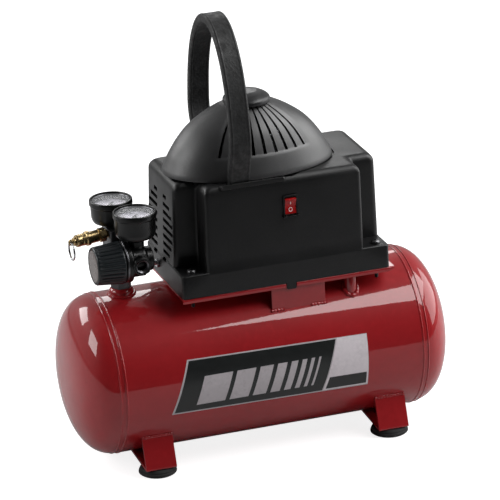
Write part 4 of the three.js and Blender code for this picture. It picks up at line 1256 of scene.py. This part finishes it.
def make_regulator():
    low, high = mm("regulator_body")
    start = (high.x, REGULATOR.y, REGULATOR.z)
    length = high.x - low.x
    barrel = turned(
        [(0, 0), (11.6, 0), (12.4, 1), (12.4, 6), (14.2, 7.4), (15.6, 8.4), (16, 10), (16, length - 10),
         (17.4, length - 8.6), (20.6, length - 7.6), (21, length - 6.8), (21, length - 0.6),
         (20.4, length), (0, length)],
        start, -X, radius=0.8, sides=120)

    def scallop(angle, distance):
        return -0.55 * (0.5 - 0.5 * math.cos(8 * angle)) if distance > 14.6 else 0
    boss = turned(
        [(0, 0), (9.2, 0), (9.2, 14.2), (9.9, 15.2), (9.9, 20.8), (9.2, 22), (7.6, 22), (7.0, 21.4),
         (7.0, 8), (0, 8)],
        (OUTLET_X, REGULATOR.y, REGULATOR.z), -Y, radius=0.5, sides=96, wave=scallop)
    stem = centre("line_gauge_case")
    post = turned([(0, 8), (8, 8), (8, 15), (7.2, 16), (0, 16)], (stem.x, stem.y, REGULATOR.z), Z, 0.5, 48)
    collar = nut((stem.x, stem.y, REGULATOR.z), Z, 8.4, 15.5, high.z - REGULATOR.z - 0.1)
    arm_length = high.y - REGULATOR.y
    arm = turned([(0, 0), (6.6, 0), (6.6, arm_length), (0, arm_length)],
                 (ARM_X, REGULATOR.y, REGULATOR.z + 2), Y, 0.6, 40)
    vertices, faces = block(high.x - length + 7.8, high.x - 9, -0.9, 0.9, 15.2, 16.9)
    ribs = []
    for i in range(8):
        turn = Quaternion(X, math.pi / 4 * i + 0.2)
        ribs.append(([turn @ v + Vector((0, REGULATOR.y, REGULATOR.z)) for v in vertices], faces))
    piece("regulator_casting", join(barrel, boss, post, collar, arm, *ribs), GLOSS_BLACK,
          stands_for=["regulator_body"])
    band = turned([(20.2, length - 3.0), (21.25, length - 2.8), (21.3, length - 1.2), (20.2, length - 0.9)],
                  start, -X, radius=0.3, sides=120, closed=True)
    piece("bonnet_band", band, RING_GREY)

    insert_low, insert_high = mm("outlet_insert")
    depth = insert_high.y - insert_low.y
    thread = [(6.5, 0)]
    turns = 9
    for i in range(turns):
        z0 = depth * i / turns
        thread += [(5.1, z0 + depth / turns * 0.25), (5.8, z0 + depth / turns * 0.75)]
    liner = lathe([(6.55, depth), *reversed(thread)], (OUTLET_X, insert_high.y, REGULATOR.z), -Y, 72, closed=True)
    piece("outlet_thread", liner, RING_GREY, stands_for=["outlet_insert"])

    spindle_low, spindle_high = mm("regulator_spindle")
    profile = [(4.2 if i % 2 else 3.5, 0.5 + i) for i in range(34)]
    profile = [(0, 0), *profile, (0, spindle_high.x - spindle_low.x)]
    rod = lathe(profile, (spindle_high.x, REGULATOR.y, REGULATOR.z), -X, 32)
    piece("adjusting_screw", rod, BLACK_STEEL, body="regulator_spindle",
          stands_for=["regulator_spindle"])


def make_knob():
    low, high = mm("regulator_knob")
    length = high.x - low.x
    base_radius, end_radius, ribs = 21.6, 19.4, 30
    start = (high.x, REGULATOR.y, REGULATOR.z)

    def rib(angle, distance):
        if distance < 1.6 or distance > length - 1.8:
            return 0
        ease = min(1, (distance - 1.6) / 1.5, (length - 1.8 - distance) / 1.5)
        return -1.05 * ease * (0.5 + 0.5 * math.cos(ribs * angle)) ** 3
    steps = 14
    outside = [(base_radius - 0.7, 0), (base_radius, 0.8)]
    for i in range(steps + 1):
        share = i / steps
        outside.append((base_radius + (end_radius - base_radius) * share, 1.6 + (length - 3.4) * share))
    outside += [(end_radius - 0.35, length - 0.9), (end_radius - 1.2, length - 0.2), (end_radius - 2.0, length),
                (17.1, length - 0.3), (17.0, length - 1.5)]
    inside = [(8, length - 1.5), (4.8, length - 1.6), (4.8, 0.2), (8, 0.2), (8, length - 8), (17.2, length - 8.4),
              (18.4, 0)]
    knob = lathe(outside + inside, start, -X, sides=ribs * 10, closed=True, wave=rib)
    piece("grip_knob", knob, KNOB, body="regulator_knob", stands_for=["regulator_knob"], angle=55)

    cap = turned(
        [(0, 0), (16.5, 0), (16.5, 0.6), (16.0, 1.15), (14.4, 1.3), (13.9, 1.05), (13.4, 1.25), (6, 1.3),
         (0, 1.3)],
        (mm("knob_cap")[1].x, REGULATOR.y, REGULATOR.z), -X, radius=0.25, sides=120)
    piece("knob_disc", cap, BADGE, body="regulator_knob", stands_for=["knob_cap"])


# ------------------------------------------------------------------ manifold, safety valve and tube
def make_manifold():
    low, high = mm("manifold")
    bung = centre("manifold_bung")
    foot = (bung.x, bung.y, 0)
    column = turned([(0, low.z - 2), (8.4, low.z - 2), (8.4, 222), (0, 222)], foot, Z, 0.4, 64)
    base_nut = nut(foot, Z, 10.8, low.z, low.z + 8)
    collar = turned([(8, 196), (9.3, 196.5), (9.3, 199.5), (8, 200)], foot, Z, 0.5, 64, closed=True)
    casting = prism(rounded_box(-142.4, -124.6, -1.3, high.y, 3), "Z", 212, high.z)
    front_flat = block(-160, -100, -40, -1.5, 193, 250)
    piece("manifold_block", join(cut(column, front_flat), base_nut, collar, casting), DARK_ZINC,
          stands_for=["manifold"], edge=0.5)


VALVE_LENGTH = 39.5


def make_safety_valve():
    along = Vector(JOINTS["safety_pull"]["axis"]).normalized()
    eye = Vector(JOINTS["ring_swing"]["pos_m"]) / MM
    start = eye - along * VALVE_LENGTH
    thread = [(4.4 if i % 2 else 3.9, 0.3 * i) for i in range(9)]
    neck = lathe([(0, 0), *thread, (4.2, 3), (0, 3)], start, along, 40)
    hexagon_part = nut(start, along, 7.4, 2.6, 9.2)
    barrel = turned(
        [(2.6, 9), (5.4, 9), (5.4, 10.0), (6.2, 10.5), (6.2, 19.4), (7.5, 20.1), (7.5, 23.6), (6.3, 24.3),
         (6.3, 27.6), (5.9, 28.0), (5.9, 28.8), (6.3, 29.2), (6.3, 33.6), (5.8, 34.9), (2.6, 34.9)],
        start, along, radius=0.3, sides=72, closed=True)
    side = along.orthogonal().normalized()
    vents = [cylinder(1.25, 2.8, 9, start + along * 15, Quaternion(along, angle + 0.5) @ side, 20)
             for angle in round_angles(3)]
    barrel = cut(barrel, *vents)
    piece("safety_body", join(neck, hexagon_part, barrel), BRASS, stands_for=["safety_valve_body"])
    rod = turned(
        [(0, 9), (2.0, 9), (2.0, 35.4), (4.2, 35.5), (4.2, 37.2), (2.6, 37.8), (2.2, 38),
         (2.2, VALVE_LENGTH), (0, VALVE_LENGTH)],
        start, along, 0.3, 40)
    lug = turned([(1.5, -1.25), (3.1, -1.25), (3.1, 1.25), (1.5, 1.25)], eye, Y, 0.3, 40, closed=True)
    piece("safety_stem_rod", join(rod, lug), BRASS, body="safety_stem", stands_for=["safety_valve_stem"])
    low, high = mm("safety_ring")
    radius = (high.y - low.y) / 2 - 0.8
    middle = Vector((eye.x, eye.y, eye.z - radius))
    turns, steps, wire = 2, 72, 0.72
    coil = []
    for i in range(turns * steps + 1):
        a = 2 * math.pi * i / steps
        shift = wire * 1.9 * (i / (turns * steps) - 0.5)
        coil.append(middle + Vector((shift, radius * math.sin(a), radius * math.cos(a))))
    piece("pull_ring", sweep(coil, disc(wire, 14), side=X), STEEL, body="safety_ring",
          stands_for=["safety_ring"])


def make_sense_tube():
    low, high = mm("sense_tube")
    y = (low.y + high.y) / 2
    start, end_z = (-124, y, 216), TUBE_HOLE_Z
    route = [start, (-114, y, 216), (-104, y, 208), (-97, y, 196), (-88, y, end_z), (-72, y, end_z)]
    tube = sweep(smooth_path(route, 12), disc(2.5, 24), side=Y)
    near = nut(start, X, 5.2, 0, 6.5)
    far = turned([(2.6, 0), (4.3, 0), (4.3, 3.2), (2.6, 3.2)], (-89.8, y, end_z), X, 0.4, 32, closed=True)
    piece("pressure_tube", join(tube, near, far), ALUMINIUM, stands_for=["sense_tube"])


# ------------------------------------------------------------------ label
def label_patch(name, corners, out, material):
    """A thin sheet on the tank. corners are (x, height) going round from the top left."""
    across, down = 60, 16
    top_left, top_right, bottom_right, bottom_left = corners

    def at(u, v, lift):
        x = ((top_left[0] * (1 - u) + top_right[0] * u) * (1 - v)
             + (bottom_left[0] * (1 - u) + bottom_right[0] * u) * v)
        angle = ((top_left[1] * (1 - u) + top_right[1] * u) * (1 - v)
                 + (bottom_left[1] * (1 - u) + bottom_right[1] * u) * v)
        return on_tank(x, math.radians(angle), lift)
    vertices = [at(i / across, j / down, lift)
                for lift in (out, out - 0.35) for j in range(down + 1) for i in range(across + 1)]
    width = across + 1
    layer = width * (down + 1)
    faces = []
    for j in range(down):
        for i in range(across):
            a = j * width + i
            faces.append([a, a + 1, a + 1 + width, a + width])
            faces.append([layer + a, layer + a + width, layer + a + 1 + width, layer + a + 1])
    rim = (list(range(width)) + [j * width + across for j in range(1, down + 1)]
           + [down * width + i for i in range(across - 1, -1, -1)] + [j * width for j in range(down - 1, 0, -1)])
    for a, b in zip(rim, rim[1:] + rim[:1]):
        faces.append([a, layer + a, layer + b, b])
    piece(name, (vertices, faces), material)


def inset_corners(corners, left, right, top, bottom):
    """Corners moved in: left and right in millimetres, top and bottom in degrees round the tank."""
    (ax, ay), (bx, by), (cx, cy), (dx, dy) = corners
    slope_left = (dx - ax) / (dy - ay)
    slope_right = (cx - bx) / (cy - by)
    return [(ax + left - top * slope_left, ay - top), (bx - right - top * slope_right, by - top),
            (cx - right + bottom * slope_right, cy + bottom), (dx + left + bottom * slope_left, dy + bottom)]


def make_label():
    """A plain label: black field, silver border, slanted bars and a white end panel, with no lettering."""
    outer = [(-92.1, 21.8), (98.3, 19.6), (97.4, -19.8), (-111.4, -17.4)]
    label_patch("label_border", outer, 0.12, LABEL_SILVER)
    split_top, split_bottom = 65.9, 48.1
    slope = (split_bottom - split_top) / 38.0
    field = [(-92.1, 21.8), (split_top, 20.0), (split_bottom, -19.3), (-111.4, -17.4)]
    field = inset_corners(field, 2.0, 0.6, 1.0, 1.0)
    label_patch("label_field", field, 0.18, LABEL_BLACK)
    panel = [(split_top, 20.0), (98.3, 19.6), (97.4, -19.8), (split_bottom, -19.3)]
    panel = inset_corners(panel, 0.6, 0.4, 0.3, 0.9)
    label_patch("label_end_panel", panel, 0.18, LABEL_WHITE)
    foot = inset_corners(panel, 2.2, 1.6, 28.0, 0.9)
    label_patch("label_end_bar", foot, 0.24, LABEL_BLACK)
    x = -76.0
    top, bottom = 8.6, -12.2
    shift = slope * (top - bottom)
    for i, width in enumerate((30, 20, 14, 10, 7, 5, 3.5, 2.3)):
        bar = [(x, top), (x + width, top), (x + width + shift, bottom), (x + shift, bottom)]
        label_patch(f"label_stripe_{i}", bar, 0.24, LABEL_SILVER)
        x += width + 4.6


# ------------------------------------------------------------------ pieces carried over from the CAD
def repaint(material, *names):
    for name in names:
        mesh = frame["nodes"][name].data
        mesh.materials.clear()
        mesh.materials.append(material)


def finish_inside():
    repaint(IRON, "motor_stator", "crank_eccentric")
    repaint(STEEL, "motor_rotor")
    repaint(FAN, "cooling_fan")
    repaint(ALUMINIUM, "crankcase", "connecting_rod", "piston", "cylinder", "cylinder_head", "discharge_tube")
    repaint(BRASS, "check_valve")
    repaint(GLOSS_BLACK, "pressure_switch")


# ------------------------------------------------------------------ floor, backdrop light and softboxes
def make_floor():
    """A pale table top that ends a little in front of the object and shows brighter to the camera."""
    front, back, half = -650, 6000, 5000
    rows = [[(-half, front, 0), (half, front, 0)], [(-half, back, 0), (half, back, 0)]]
    floor = linked("floor", mesh_of("floor", skin(rows, closed_rings=False, caps=False)))
    made = Finish("pale_floor", (0.52, 0.52, 0.525), 0.6)
    made.tone(1.5, 0.015).gloss(3, 0.04)
    seen = made.nodes.new("ShaderNodeLightPath").outputs["Is Camera Ray"]
    made.shader.inputs["Emission Color"].default_value = (1, 1, 1, 1)
    made.links.new(made.ranged(seen, 0, 1, 0, 0.84), made.shader.inputs["Emission Strength"])
    floor.data.materials.append(made.material)


def make_world():
    """A room that is dimmer in front of the object, so that the paint stays deep, and white to the camera."""
    world = bpy.data.worlds.new("studio")
    world.use_nodes = True
    nodes, links = world.node_tree.nodes, world.node_tree.links
    background = nodes["Background"]
    place = nodes.new("ShaderNodeTexCoord")
    split = nodes.new("ShaderNodeSeparateXYZ")
    links.new(place.outputs["Generated"], split.inputs["Vector"])
    ramp = nodes.new("ShaderNodeMapRange")
    ramp.interpolation_type = "SMOOTHSTEP"
    for key, value in (("From Min", -0.45), ("From Max", 0.65), ("To Min", 0.03), ("To Max", 0.36)):
        ramp.inputs[key].default_value = value
    links.new(split.outputs["Y"], ramp.inputs["Value"])
    seen = nodes.new("ShaderNodeLightPath")
    mix = nodes.new("ShaderNodeMix")
    links.new(seen.outputs["Is Camera Ray"], mix.inputs["Factor"])
    links.new(ramp.outputs["Result"], mix.inputs["A"])
    mix.inputs["B"].default_value = 1.0
    links.new(mix.outputs["Result"], background.inputs["Strength"])
    background.inputs["Color"].default_value = (1, 1, 1, 1)
    SCENE.world = world


LIGHT_DISTANCE = 2.0
LIGHT_AIM = Vector((0, 0, 0.15))


def softbox(name, azimuth, elevation, width, height, brightness):
    """A rectangular area light that faces the object."""
    data = bpy.data.lights.new(name, "AREA")
    data.shape = "RECTANGLE"
    data.size = width
    data.size_y = height
    data.energy = brightness * math.pi * width * height
    light = linked(name, data)
    away = direction(math.radians(azimuth), math.radians(elevation))
    light.location = away * LIGHT_DISTANCE + LIGHT_AIM
    light.rotation_mode = "QUATERNION"
    light.rotation_quaternion = away.to_track_quat("Z", "Y")
    light.visible_camera = False


def make_lights():
    """Name, azimuth and elevation in degrees, width and height in metres, and brightness."""
    for box in (
            ("key_box", 66, 50, 1.7, 0.9, 6.6),
            ("right_box", 86, 19, 2.1, 1.2, 3.4),
            ("left_box", -139, 28, 0.85, 0.65, 7.0),
            ("left_small_box", -95, 27, 0.75, 0.75, 6.5),
            ("rear_box", 163, 34, 0.6, 0.6, 4.5)):
        softbox(*box)


make_floor()
make_world()
make_lights()
make_tank()
make_bungs()
make_drain()
make_feet()
make_plate()
make_shroud()
make_screws()
make_dome()
make_handle()
make_switch()
make_gauge("tank", ["0", "50", "100", "150", "200"], 0)
make_gauge("line", ["0", "40", "80", "120", "160"], 2.8)
make_regulator()
make_knob()
make_manifold()
make_safety_valve()
make_sense_tube()
make_label()
finish_inside()

SCENE.view_settings.view_transform = "Standard"
